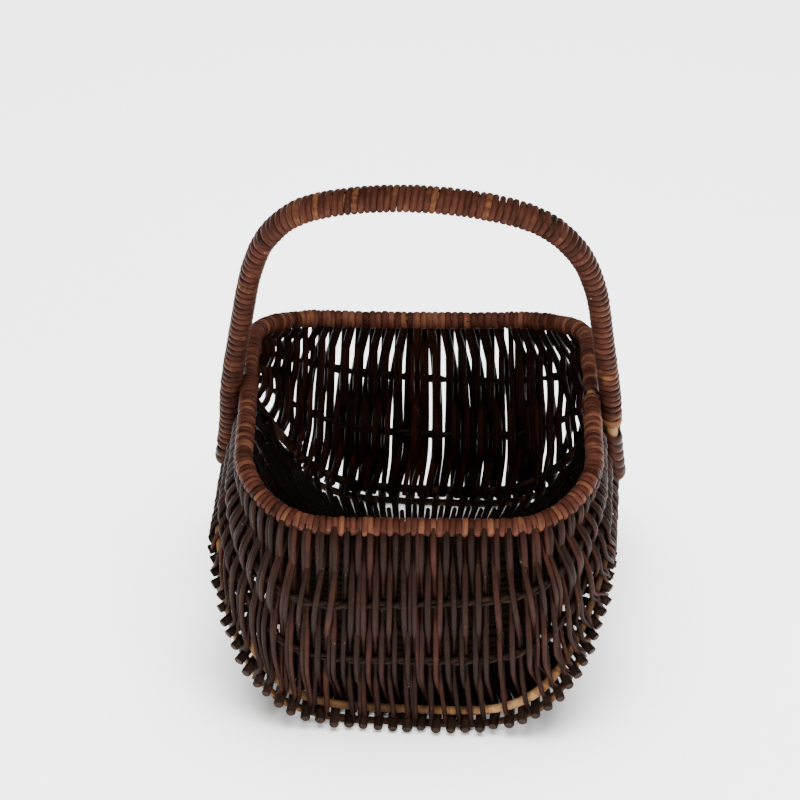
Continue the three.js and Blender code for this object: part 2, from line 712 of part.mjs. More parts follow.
const windingStart = bowLengthAtHeight(-1, RIM_Z - LEFT_WINDING_BELOW_RIM);
const windingEnd = bowLengthAtHeight(1, RIM_Z - RIGHT_WINDING_BELOW_RIM);
const windingPitch = (windingEnd - windingStart) / (WINDING_RODS * LOOPS_PER_ROD);
const windingHalf = (windingPitch * WINDING_FILL) / 2;

function windingRings(rodIndex) {
  const rings = [];
  const start = windingStart + rodIndex * LOOPS_PER_ROD * windingPitch + windingHalf;
  const steps = LOOPS_PER_ROD * STEPS_PER_LOOP - STEPS_PER_LOOP / 2;
  for (let i = 0; i <= steps; i += 1) {
    const length = start + (i / STEPS_PER_LOOP) * windingPitch;
    rings.push([
      bowSpot(length - windingHalf, i, WINDING_GAP),
      bowSpot(length, i, WINDING_GAP + HANDLE_WINDING_THICKNESS),
      bowSpot(length + windingHalf, i, WINDING_GAP),
    ]);
  }
  return rings;
}

// The least gap between one turn and the next, measured at each step.
function leastGap(rings) {
  let least = Infinity;
  for (let i = 0; i + STEPS_PER_LOOP < rings.length; i += 1) {
    least = Math.min(least, rings[i][2].distanceTo(rings[i + STEPS_PER_LOOP][0]));
  }
  return least;
}

for (let i = 0; i < WINDING_RODS; i += 1) {
  const rings = windingRings(i);
  const name = `handle_winding_${i + 1}`;
  console.log(`${name}: least gap between turns ${leastGap(rings).toFixed(2)} mm`);
  addPiece(handle, name, skin(rings), finishes.handle());
}

export default basket;
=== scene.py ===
"""Wicker shopping basket, dressed round its fixed frame.

Metres, +Z up, the front wall faces -Y. Dark willow rods hang from a wound rim, weave over two ribs and
end at two peeled base hoops; a bow handle with a close winding stands over the basket.
"""

import logging
import math
from dataclasses import dataclass
from enum import Enum

import bpy
import numpy as np
from mathutils import Matrix, Vector


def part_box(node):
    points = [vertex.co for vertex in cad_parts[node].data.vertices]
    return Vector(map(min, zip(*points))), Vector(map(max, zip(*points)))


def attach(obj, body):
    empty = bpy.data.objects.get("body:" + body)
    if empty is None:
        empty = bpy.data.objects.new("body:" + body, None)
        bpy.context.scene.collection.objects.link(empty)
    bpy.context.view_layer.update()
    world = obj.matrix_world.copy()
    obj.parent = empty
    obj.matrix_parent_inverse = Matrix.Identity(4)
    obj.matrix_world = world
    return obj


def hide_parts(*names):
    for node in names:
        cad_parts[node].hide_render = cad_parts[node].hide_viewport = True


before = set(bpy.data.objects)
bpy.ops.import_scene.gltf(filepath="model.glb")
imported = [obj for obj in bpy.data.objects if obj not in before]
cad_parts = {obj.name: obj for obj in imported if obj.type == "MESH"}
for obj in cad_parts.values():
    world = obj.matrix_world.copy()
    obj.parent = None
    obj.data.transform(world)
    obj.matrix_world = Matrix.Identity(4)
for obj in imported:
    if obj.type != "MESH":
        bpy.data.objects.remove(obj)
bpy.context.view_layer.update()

LOG = logging.getLogger("wicker_basket")
UP = np.array([0.0, 0.0, 1.0])
ALONG_Y = np.array([0.0, 1.0, 0.0])
CIRCLE = 2 * np.pi
Rows = np.ndarray
Values = float | Rows
Socket = bpy.types.NodeSocket


class Slot(Enum):
    """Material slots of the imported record."""

    WALL = "dark_willow"
    HANDLE = "handle_willow"
    PEELED = "peeled_willow"
    RIB = "rib_willow"
    BUTT = "butt_willow"


class Family(Enum):
    """Side of the rim on which a wall rod starts."""

    OUTER = 1
    INNER = -1

    @property
    def other(self) -> "Family":
        """The family on the other side of the rim."""
        return Family(-self.value)


def ease(u: Values) -> Values:
    """Smooth step from 0 to 1, level at both ends."""
    return (1 - np.cos(np.pi * np.clip(u, 0, 1))) / 2


def mix(first: Values, second: Values, share: Values) -> Values:
    """A value between two others, by a share from 0 to 1."""
    return first + (second - first) * share


def unit(rows: Rows) -> Rows:
    """Rows of a table scaled to length 1."""
    return rows / np.maximum(np.linalg.norm(rows, axis=-1, keepdims=True), 1e-12)


def squared_to(ahead: Rows, rows: Rows) -> Rows:
    """Rows turned square to a direction, at length 1."""
    return unit(rows - ahead * np.sum(rows * ahead, axis=-1, keepdims=True))


def lengths_along(line: Rows) -> Rows:
    """Length from a line's first point to each of its points."""
    return np.concatenate([[0.0], np.cumsum(np.linalg.norm(np.diff(line, axis=0), axis=1))])


def read_rows(at: Values, places: Rows, rows: Rows) -> Rows:
    """A table, or a single column, read between its places.

    Args:
        at: where it is read.
        places: the place of each row, in rising order.
        rows: the table.
    Returns:
        One row for each place where it is read.
    """
    if rows.ndim == 1:
        return np.interp(at, places, rows)
    return np.stack([np.interp(at, places, column) for column in rows.T], -1)


def read_marks(at: Values, marks: tuple) -> Values:
    """The value at a place, between marks that each pair a place with a value."""
    return np.interp(at, *np.array(marks).T)


def round_shares(steps: int) -> Rows:
    """Equal steps of a closed course, as shares of it."""
    return np.linspace(0, 1, steps, endpoint=False)


def spun(angle: Rows) -> Rows:
    """Cosines and sines of angles, side by side."""
    return np.stack([np.cos(angle), np.sin(angle)], -1)


# Finishes


class NodeSheet:
    """Short hand for one material's node tree."""

    def __init__(self, name: str) -> None:
        """Start a material.

        Args:
            name: the material's name.
        """
        self.material = bpy.data.materials.new(name)
        self.material.use_nodes = True
        self.tree = self.material.node_tree
        self.tree.nodes.clear()

    def add(self, kind: str, settings: dict | None = None, **inputs) -> bpy.types.Node:
        """Add a node.

        Args:
            kind: the node's type.
            settings: properties of the node.
            inputs: values or output sockets, by input name with _ for a space.
        Returns:
            The node.
        """
        node = self.tree.nodes.new(kind)
        for key, value in (settings or {}).items():
            setattr(node, key, value)
        for key, value in inputs.items():
            self.feed(node.inputs[key.replace("_", " ")], value)
        return node

    def feed(self, socket: Socket, value) -> None:
        """Link an output to a socket, or set the socket's own value."""
        if isinstance(value, Socket):
            self.tree.links.new(value, socket)
        else:
            socket.default_value = value

    def worked(self, node: bpy.types.Node, operands: tuple) -> Socket:
        """Feed a node's inputs in order and take its first output."""
        for socket, value in zip(node.inputs, operands):
            self.feed(socket, value)
        return node.outputs[0]

    def math(self, operation: str, *operands, clamp: bool = False) -> Socket:
        """Arithmetic on sockets or numbers, kept between 0 and 1 where it is clamped."""
        node = self.add("ShaderNodeMath", {"operation": operation, "use_clamp": clamp})
        return self.worked(node, operands)

    def vector_math(self, operation: str, *operands) -> Socket:
        """Arithmetic on vectors or colours, part by part."""
        return self.worked(self.add("ShaderNodeVectorMath", {"operation": operation}), operands)

    def swing(self, noise: Socket, depth: float, middle, clamp: bool = False) -> Socket:
        """Noise made to swing about a middle."""
        return self.math("MULTIPLY_ADD", self.math("SUBTRACT", noise, 0.5), depth, middle, clamp=clamp)

    def past(self, value: Socket, start: float, steepness: float) -> Socket:
        """0 up to a start, then rising to 1."""
        return self.math("MULTIPLY", self.math("SUBTRACT", value, start), steepness, clamp=True)

    def attribute(self, name: str, output: str) -> Socket:
        """One of the piece's own attributes."""
        return self.add("ShaderNodeAttribute", {"attribute_name": name}).outputs[output]

    def noise(self, place: Socket, scale: float, detail: float) -> Socket:
        """Smooth noise from 0 to 1 at a place."""
        return self.add("ShaderNodeTexNoise", Vector=place, Scale=scale, Detail=detail).outputs["Fac"]

    def ramp(self, value: Socket, stops: tuple) -> Socket:
        """Colour by value.

        Args:
            value: a socket from 0 to 1.
            stops: pairs of a place and a colour.
        Returns:
            The colour's socket.
        """
        node = self.add("ShaderNodeValToRGB", Fac=value)
        marks = node.color_ramp.elements
        while len(marks) < len(stops):
            marks.new(1.0)
        for mark, (place, colour) in zip(marks, stops):
            mark.position = place
            mark.color = (*colour, 1.0)
        return node.outputs["Color"]

    def covered(self, share: Socket, base: Socket, cover: tuple) -> Socket:
        """A colour covered by another, by a share."""
        node = self.add("ShaderNodeMix", {"data_type": "RGBA"}, Factor=share, A=base, B=(*cover, 1.0))
        return node.outputs["Result"]

    def close(self, **inputs) -> bpy.types.Material:
        """Join the surface to the output.

        Args:
            inputs: inputs of the surface shader, by name with _ for a space.
        Returns:
            The material.
        """
        surface = self.add("ShaderNodeBsdfPrincipled", **inputs)
        self.add("ShaderNodeOutputMaterial", Surface=surface.outputs["BSDF"])
        return self.material


@dataclass(frozen=True)
class WillowBark:
    """Bark of a willow rod: a tone for each rod, streaks along it, specks, pale cut ends and a dull gloss.

    The streaks, patches and grain each hold how much the noise is stretched along and round the rod,
    its scale and its detail; dust and clouds hold a scale and a detail.
    """

    name: str
    tones: tuple
    cut: tuple = (0.060, 0.036, 0.023)
    cut_start: float = 0.55
    cut_steepness: float = 6.0
    speck: tuple = (0.20, 0.16, 0.13)
    speck_start: float = 0.755
    speck_steepness: float = 14.0
    dust: tuple = (330.0, 2.0)
    clouds: tuple = (38.0, 1.0)
    cloud_depth: float = 0.25
    roughness: tuple = (0.36, 0.62)
    streaks: tuple = ((0.35, 2.2, 2.2), 1.6, 5.0)
    streak_depth: float = 1.0
    patches: tuple = ((0.55, 0.35, 0.35), 1.0, 2.0)
    patch_depth: float = 0.9
    grain: tuple = ((2.4, 7.0, 7.0), 1.0, 3.0)
    tone_shift: float = 71.0
    streak_relief: float = 0.6
    bump: float = 0.35
    bump_height: float = 0.0006
    gloss: float = 0.09
    gloss_tint: tuple = (1.0, 0.70, 0.58, 1.0)

    def material(self) -> bpy.types.Material:
        """Build the bark material.

        Returns:
            A material that reads the piece's own willow attributes.
        """
        sheet = NodeSheet(self.name)
        tint = sheet.attribute("rod_tint", "Fac")
        shift = sheet.add("ShaderNodeCombineXYZ", X=sheet.math("MULTIPLY", tint, self.tone_shift), Y=tint)
        own_place = sheet.vector_math("ADD", sheet.attribute("rod_place", "Vector"), shift.outputs[0])
        streak, patch, grain = (
            sheet.noise(sheet.vector_math("MULTIPLY", own_place, stretch), scale, detail)
            for stretch, scale, detail in (self.streaks, self.patches, self.grain)
        )
        colour = sheet.ramp(sheet.swing(patch, self.patch_depth, tint, clamp=True), self.tones)
        shaded = sheet.vector_math("MULTIPLY", colour, sheet.swing(streak, self.streak_depth, 1.0))
        here = sheet.add("ShaderNodeTexCoord").outputs["Object"]
        dust = sheet.swing(sheet.noise(here, *self.clouds), self.cloud_depth, sheet.noise(here, *self.dust))
        speck = sheet.past(dust, self.speck_start, self.speck_steepness)
        pith = sheet.past(sheet.attribute("rod_cut", "Fac"), self.cut_start, self.cut_steepness)
        low, high = self.roughness
        relief = sheet.math("MULTIPLY_ADD", streak, self.streak_relief, grain)
        bump = sheet.add("ShaderNodeBump", Strength=self.bump, Distance=self.bump_height, Height=relief)
        return sheet.close(
            Base_Color=sheet.covered(pith, sheet.covered(speck, shaded, self.speck), self.cut),
            Roughness=sheet.math("MULTIPLY_ADD", grain, high - low, low, clamp=True),
            Normal=bump.outputs["Normal"],
            Specular_IOR_Level=self.gloss,
            Specular_Tint=self.gloss_tint,
        )


WALL_BARK = WillowBark(
    "wall_bark",
    tones=(
        (0.00, (0.0045, 0.0016, 0.0011)),
        (0.30, (0.0130, 0.0040, 0.0025)),
        (0.62, (0.0330, 0.0090, 0.0050)),
        (0.88, (0.0690, 0.0220, 0.0140)),
        (1.00, (0.1150, 0.0430, 0.0210)),
    ),
)
HANDLE_BARK = WillowBark(
    "handle_bark",
    tones=(
        (0.00, (0.0130, 0.0050, 0.0035)),
        (0.35, (0.0310, 0.0098, 0.0062)),
        (0.70, (0.0620, 0.0200, 0.0120)),
        (1.00, (0.1500, 0.0600, 0.0250)),
    ),
    roughness=(0.34, 0.58),
)
RIB_BARK = WillowBark(
    "rib_bark",
    tones=(
        (0.00, (0.0060, 0.0032, 0.0025)),
        (0.60, (0.0180, 0.0085, 0.0058)),
        (1.00, (0.0520, 0.0250, 0.0140)),
    ),
    roughness=(0.45, 0.7),
)
BASE_BARK = WillowBark(
    "base_rod_bark",
    tones=(
        (0.00, (0.0030, 0.0018, 0.0013)),
        (0.55, (0.0170, 0.0090, 0.0063)),
        (1.00, (0.0480, 0.0240, 0.0160)),
    ),
    cut=(0.022, 0.013, 0.009),
    roughness=(0.42, 0.68),
    gloss=0.06,
)
PEELED = WillowBark(
    "peeled_willow_wood",
    tones=(
        (0.00, (0.0100, 0.0050, 0.0030)),
        (0.25, (0.0600, 0.0280, 0.0130)),
        (0.55, (0.2050, 0.1020, 0.0420)),
        (1.00, (0.4200, 0.2450, 0.1150)),
    ),
    speck=(0.10, 0.05, 0.03),
    speck_start=0.76,
    roughness=(0.5, 0.72),
    streak_depth=0.70,
)


@dataclass(frozen=True)
class PaleFloor:
    """Plain pale floor."""

    colour: tuple = (0.93, 0.93, 0.93, 1.0)
    roughness: float = 0.9

    def material(self) -> bpy.types.Material:
        """Build the floor's material."""
        sheet = NodeSheet("pale_floor")
        return sheet.close(Base_Color=self.colour, Roughness=self.roughness, Specular_IOR_Level=0.0)


# Form


@dataclass(frozen=True)
class Plan:
    """Rounded rectangle, followed by share of its girth from the front middle towards +X."""

    half_width: float
    half_depth: float
    corner: float

    @classmethod
    def turned_in_box(cls, across: float, deep: float, corner: float, angle: float) -> "Plan":
        """The plan whose turned outline just fits a box.

        Args:
            across: half of the box's width.
            deep: half of the box's depth.
            corner: the plan's corner radius.
            angle: how far the plan is turned in the box.
        Returns:
            The plan before the turn.
        """
        x, y = across - corner, deep - corner
        scale = 1 / math.cos(2 * angle)
        width = (x * math.cos(angle) - y * math.sin(angle)) * scale
        depth = (y * math.cos(angle) - x * math.sin(angle)) * scale
        return cls(width + corner, depth + corner, corner)

    @property
    def front(self) -> float:
        """Straight length from the front middle to the corner."""
        return self.half_width - self.corner

    @property
    def arc(self) -> float:
        """Length round one corner."""
        return math.pi / 2 * self.corner

    @property
    def quarter(self) -> float:
        """Length of a quarter of the girth."""
        return self.half_width + self.half_depth - 2 * self.corner + self.arc

    @property
    def girth(self) -> float:
        """Length all the way round."""
        return 4 * self.quarter

    def at(self, share: Values) -> tuple[Rows, Rows]:
        """Points and outward directions.

        Args:
            share: places as shares of the girth.
        Returns:
            The points and the outward directions, with z left at 0.
        """
        turn = np.mod(np.asarray(share, float), 1.0) * 4
        quarter = np.minimum(np.floor(turn).astype(int), 3)
        along = (turn - quarter) * self.quarter
        along = np.where(quarter % 2 == 1, self.quarter - along, along)
        angle = np.clip((along - self.front) / self.corner, 0, math.pi / 2)
        x = np.minimum(along, self.front) + self.corner * np.sin(angle)
        y = np.maximum(along - self.front - self.arc, 0) - self.half_depth + self.corner * (1 - np.cos(angle))
        sign_x = np.where(quarter < 2, 1.0, -1.0)
        sign_y = np.where((quarter == 0) | (quarter == 3), 1.0, -1.0)
        points = np.stack([x * sign_x, y * sign_y, np.zeros_like(x)], -1)
        out = np.stack([np.sin(angle) * sign_x, -np.cos(angle) * sign_y, np.zeros_like(x)], -1)
        return points, out


@dataclass(frozen=True)
class RibLevel:
    """How far down the wall a rib stands, and how far it sways from corner to corner."""

    down: float
    sway: float

    def at(self, share: Values) -> Values:
        """Share of the wall above the rib."""
        return self.down - self.sway * np.sin(2 * CIRCLE * share)


@dataclass(frozen=True)
class BasketForm:
    """Lines that every piece follows: the rim, the base hoops and the wall between them."""

    rim: Plan
    hoop: Plan
    rim_height: float
    rim_rise: float
    hoop_height: float
    hoop_rise: float
    rim_power: float = 5.0
    hoop_power: float = 4.4
    bulge: float = 0.011
    bulge_skew: float = 0.8
    twist: float = math.radians(3.0)
    rim_shift: float = -0.0032
    base_shift: float = 0.0048
    upper_rib: RibLevel = RibLevel(0.37, 0.030)
    lower_rib: RibLevel = RibLevel(0.69, 0.0135)
    hoop_radius: float = 0.0033
    base_rod_radius: float = 0.0034
    rim_core_radius: float = 0.0042
    rim_corner: float = 0.072
    hoop_corner: float = 0.064
    seat_gap: float = 0.0003
    share_nudge: float = 0.0015

    @classmethod
    def from_frame(cls) -> "BasketForm":
        """Read the main sizes off the fixed rim core and upper base hoop.

        Returns:
            The form.
        """
        rim_low, rim_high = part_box("rim_core")
        hoop_low, hoop_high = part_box("upper_base_hoop")
        core, hoop = cls.rim_core_radius, cls.hoop_radius
        rim_half = (rim_high - rim_low) / 2 - Vector((core, core, 0))
        hoop_half = (hoop_high - hoop_low) / 2 - Vector((hoop, hoop, 0))
        six_sided = math.cos(math.radians(30))
        return cls(
            rim=Plan.turned_in_box(rim_half.x, rim_half.y, cls.rim_corner, cls.twist),
            hoop=Plan(hoop_half.x, hoop_half.y, cls.hoop_corner),
            rim_height=rim_low.z + core,
            rim_rise=rim_high.z - rim_low.z - 2 * core,
            hoop_height=hoop_low.z + hoop * six_sided,
            hoop_rise=hoop_high.z - hoop_low.z - 2 * hoop * six_sided,
        )

    @property
    def layer_step(self) -> float:
        """Distance from a hoop's centre line to that of the rods that lie on it."""
        return self.hoop_radius + self.seat_gap + self.base_rod_radius

    @property
    def foot_lead(self) -> float:
        """Share of the girth by which a rod's foot leads its head, so that it stands upright."""
        return self.twist / (2 * math.pi)

    @property
    def side_hoop_level(self) -> float:
        """Height of the upper base hoop at the basket's sides."""
        return float(self.hoop_level(self.hoop.half_width))

    def rim_at(self, share: Values) -> tuple[Rows, Rows]:
        """Points and outward directions of the rim's centre line, turned against the base."""
        points, out = self.rim.at(share)
        reach = np.abs(points[..., 0]) / self.rim.half_width
        points[..., 2] = self.rim_height + self.rim_rise * reach**self.rim_power
        turn = np.array(Matrix.Rotation(self.twist, 3, "Z")).T
        return points @ turn + self.rim_shift * ALONG_Y, out @ turn

    def hoop_level(self, x: Values) -> Values:
        """Height of the upper base hoop over a place across the basket."""
        reach = np.minimum(np.abs(x) / self.hoop.half_width, 1)
        return self.hoop_height + self.hoop_rise * reach**self.hoop_power

    def hoop_at(self, share: Values) -> tuple[Rows, Rows]:
        """Points and outward directions of the upper base hoop's centre line."""
        points, out = self.hoop.at(share)
        points[..., 2] = self.hoop_level(points[..., 0])
        return points + self.base_shift * ALONG_Y, out

    def layer_down(self, share: Values) -> Rows:
        """Direction in which the layers of the base follow one another, square to the hoop.

        Args:
            share: places round the hoop.
        Returns:
            Downward directions.
        """
        _, out = self.hoop_at(share)
        chord = self.hoop_at(share + self.share_nudge)[0] - self.hoop_at(share - self.share_nudge)[0]
        step = unit(np.cross(out, chord))
        return np.where(step[..., 2:3] > 0, -step, step)

    def wall_at(self, share: Values, down: Values) -> tuple[Rows, Rows]:
        """Middle surface of the wall.

        Args:
            share: places round the basket.
            down: 0 at the rim and 1 at the upper base hoop.
        Returns:
            Points and outward directions.
        """
        top, top_out = self.rim_at(share)
        foot, foot_out = self.hoop_at(share + self.foot_lead)
        down = np.asarray(down, float)[..., None]
        out = unit(top_out * (1 - down) + foot_out * down)
        swell = self.bulge * np.sin(np.pi * np.clip(down, 0, 1) ** self.bulge_skew) * out[..., 1:2] ** 2
        return top * (1 - down) + foot * down + out * swell, out


# Rods


@dataclass
class Run:
    """Course of one rod: its points, the side that is turned outwards, its half width and half depth."""

    points: Rows
    sides: Rows
    across: Values
    deep: Values
    closed: bool = False

    def __post_init__(self) -> None:
        """Give every point its own side, half width and half depth."""
        count = len(self.points)
        self.sides = np.broadcast_to(self.sides, (count, 3))
        self.across = np.broadcast_to(self.across, count)
        self.deep = np.broadcast_to(self.deep, count)

    def looped(self, rows: Rows) -> Rows:
        """A table with its first row once more at the end where the run is closed."""
        return np.concatenate([rows, rows[:1]]) if self.closed else rows

    def steps(self) -> Rows:
        """Length from the start to each point, and back to the start where the run is closed."""
        return lengths_along(self.looped(self.points))

    def ahead(self) -> Rows:
        """Direction of the run at each point."""
        if self.closed:
            return unit(np.roll(self.points, -1, 0) - np.roll(self.points, 1, 0))
        return unit(np.gradient(self.points, axis=0))


class Pattern:
    """A plain rod or ring of length 1, modelled once, whose copies are bent along runs.

    Subclasses settle the place of each vertex along it, its angle round the section, its place in the
    section, deep and across, and whether it belongs to a cut end.
    """

    place: Rows
    angle: Rows
    section: Rows
    cut: Rows

    def read_model(self) -> Rows:
        """Keep the active object's faces and take it away again.

        Returns:
            The places of its vertices.
        """
        model = bpy.context.object
        spots = np.array([v.co for v in model.data.vertices])
        self.faces = [tuple(p.vertices) for p in model.data.polygons]
        bpy.data.objects.remove(model)
        return spots

    def bend(self, run: Run) -> Rows:
        """Lay a copy along a run.

        Args:
            run: the course.
        Returns:
            The places of the copy's vertices.
        """
        lengths = run.steps()
        self.along = self.place * lengths[-1]

        def read(rows: Rows) -> Rows:
            return read_rows(self.along, lengths, run.looped(rows))

        ahead = unit(read(run.ahead()))
        side = squared_to(ahead, read(run.sides))
        deep = side * (read(run.deep) * self.section[:, 0])[:, None]
        wide = np.cross(ahead, side) * (read(run.across) * self.section[:, 1])[:, None]
        return read(run.points) + deep + wide


class RodPattern(Pattern):
    """A straight round rod."""

    END_WIDTH = 0.8

    def __init__(self, sides: int, cuts: tuple[int, ...], rounded: float = 0.0) -> None:
        """Model the rod.

        Args:
            sides: faces round the rod.
            cuts: numbers by which its length is divided, one after another.
            rounded: share of the length over which the ends are rounded.
        """
        bpy.ops.object.select_all(action="DESELECT")
        bpy.ops.mesh.primitive_cylinder_add(vertices=sides, radius=1, depth=1, location=(0, 0, 0.5))
        bpy.ops.object.transform_apply(location=True)
        rod = bpy.context.object
        for parts in cuts:
            self.divide(rod, parts)
        if rounded:
            self.round_ends(rod, rounded)
        spots = self.read_model()
        self.place = spots[:, 2]
        self.angle = np.arctan2(spots[:, 1], spots[:, 0])
        self.section = np.hypot(spots[:, 0], spots[:, 1])[:, None] * spun(self.angle)
        self.cut = np.isclose(self.place, 0, atol=1e-5) | np.isclose(self.place, 1, atol=1e-5)

    @staticmethod
    def divide(rod: bpy.types.Object, parts: int) -> None:
        """Cut every lengthwise edge into equal parts.

        Args:
            rod: the model.
            parts: how many.
        """
        for edge in rod.data.edges:
            a, b = (rod.data.vertices[i].co for i in edge.vertices)
            edge.select = abs(a.z - b.z) > 1e-6
        for item in list(rod.data.vertices) + list(rod.data.polygons):
            item.select = False
        bpy.context.tool_settings.mesh_select_mode = (False, True, False)
        bpy.ops.object.mode_set(mode="EDIT")
        bpy.ops.mesh.subdivide(number_cuts=parts - 1)
        bpy.ops.mesh.select_all(action="DESELECT")
        bpy.ops.object.mode_set(mode="OBJECT")

    def round_ends(self, rod: bpy.types.Object, share: float) -> None:
        """Draw in the two end rings and bring the next rings close to them.

        Args:
            rod: the model.
            share: share of the length over which the ends are rounded.
        """
        levels = sorted({round(v.co.z, 5) for v in rod.data.vertices})
        for vertex in rod.data.vertices:
            level = round(vertex.co.z, 5)
            if level in (levels[0], levels[-1]):
                vertex.co.x *= self.END_WIDTH
                vertex.co.y *= self.END_WIDTH
            if level == levels[1]:
                vertex.co.z = levels[0] + share
            if level == levels[-2]:
                vertex.co.z = levels[-1] - share


class RingPattern(Pattern):
    """A closed ring."""

    def __init__(self, steps: int, sides: int, roundness: float = 1.0) -> None:
        """Model the ring.

        Args:
            steps: stations round the ring.
            sides: faces round its section.
            roundness: 1 for a round section, less for a flatter one with rounded edges.
        """
        radius = 2
        bpy.ops.object.select_all(action="DESELECT")
        bpy.ops.mesh.primitive_torus_add(
            major_segments=steps, minor_segments=sides, major_radius=radius, minor_radius=1
        )
        spots = self.read_model()
        self.place = np.mod(np.arctan2(spots[:, 1], spots[:, 0]) / CIRCLE, 1.0)
        self.place[self.place > 1 - 1e-6] = 0.0
        self.angle = np.arctan2(spots[:, 2], np.hypot(spots[:, 0], spots[:, 1]) - radius)
        round_section = spun(self.angle) * [1, -1]
        self.section = np.sign(round_section) * np.abs(round_section) ** roundness
        self.cut = np.zeros(len(spots), bool)


class Bundle:
    """Bent rods gathered into one piece, with each rod's place, tone and cut ends as attributes."""

    PLACE_UNIT = 0.01
    SMOOTH_ANGLE = math.radians(50)

    def __init__(self) -> None:
        """Start an empty bundle."""
        self.points: list[Rows] = []
        self.places: list[Rows] = []
        self.tints: list[Rows] = []
        self.cuts: list[Rows] = []
        self.faces: list[tuple] = []
        self.size = 0

    def lay(self, pattern: Pattern, run: Run, tint: Values) -> None:
        """Add one rod, nowhere below the floor.

        Args:
            pattern: the rod to copy.
            run: the course that it follows.
            tint: its tone, from 0 for dark to 1 for light, as one number or one for each point.
        """
        points = pattern.bend(run)
        points[:, 2] = np.maximum(points[:, 2], 0.0)
        if not isinstance(tint, float):
            tint = np.interp(pattern.along, run.steps()[: len(tint)], tint)
        self.points.append(points)
        self.places.append(np.column_stack([pattern.along / self.PLACE_UNIT, spun(pattern.angle)]))
        self.tints.append(np.broadcast_to(tint, len(points)))
        self.cuts.append(pattern.cut.astype(float))
        self.faces.extend(tuple(i + self.size for i in face) for face in pattern.faces)
        self.size += len(points)

    def finish(self, name: str, slot: Slot, material: bpy.types.Material, *nodes: str) -> bpy.types.Object:
        """Make the piece.

        Args:
            name: the piece's name.
            slot: the record's slot for its finish; not used.
            material: its material.
            nodes: fixed nodes that it stands for.
        Returns:
            The piece.
        """
        mesh = bpy.data.meshes.new(name)
        mesh.from_pydata(np.concatenate(self.points).tolist(), [], self.faces)
        for key, kind, entry, values in (
            ("rod_place", "FLOAT_VECTOR", "vector", self.places),
            ("rod_tint", "FLOAT", "value", self.tints),
            ("rod_cut", "FLOAT", "value", self.cuts),
        ):
            layer = mesh.attributes.new(key, kind, "POINT")
            layer.data.foreach_set(entry, np.concatenate(values).astype(np.float32).ravel())
        mesh.materials.append(material)
        piece = bpy.data.objects.new(name, mesh)
        bpy.context.scene.collection.objects.link(piece)
        bpy.ops.object.select_all(action="DESELECT")
        piece.select_set(True)
        bpy.context.view_layer.objects.active = piece
        bpy.ops.object.shade_smooth_by_angle(angle=self.SMOOTH_ANGLE)
        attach(piece, "root")
        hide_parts(*nodes)
        LOG.info("%s: %d faces", name, len(mesh.polygons))
        return piece

    @classmethod
    def single(cls, pattern: Pattern, run: Run, tint: Values, *finish) -> bpy.types.Object:
        """Make a piece of one rod.

        Args:
            pattern: the rod to copy.
            run: the course that it follows.
            tint: its tone.
            finish: name, slot, material and nodes of the piece.
        Returns:
            The piece.
        """
        bundle = cls()
        bundle.lay(pattern, run, tint)
        return bundle.finish(*finish)


# Rim and walls


@dataclass(frozen=True)
class Panel:
    """One wall panel: a stretch of the girth and the node that it stands for."""

    node: str
    start: float
    end: float

    def holds(self, share: float) -> bool:
        """Whether a place round the basket lies in this panel."""
        return (share - self.start) % 1.0 < self.end - self.start


@dataclass
class Turn:
    """One turn of the rim binding, and the wall rod that it ends in, if any."""

    share: float
    width: float
    tint: float
    family: Family | None


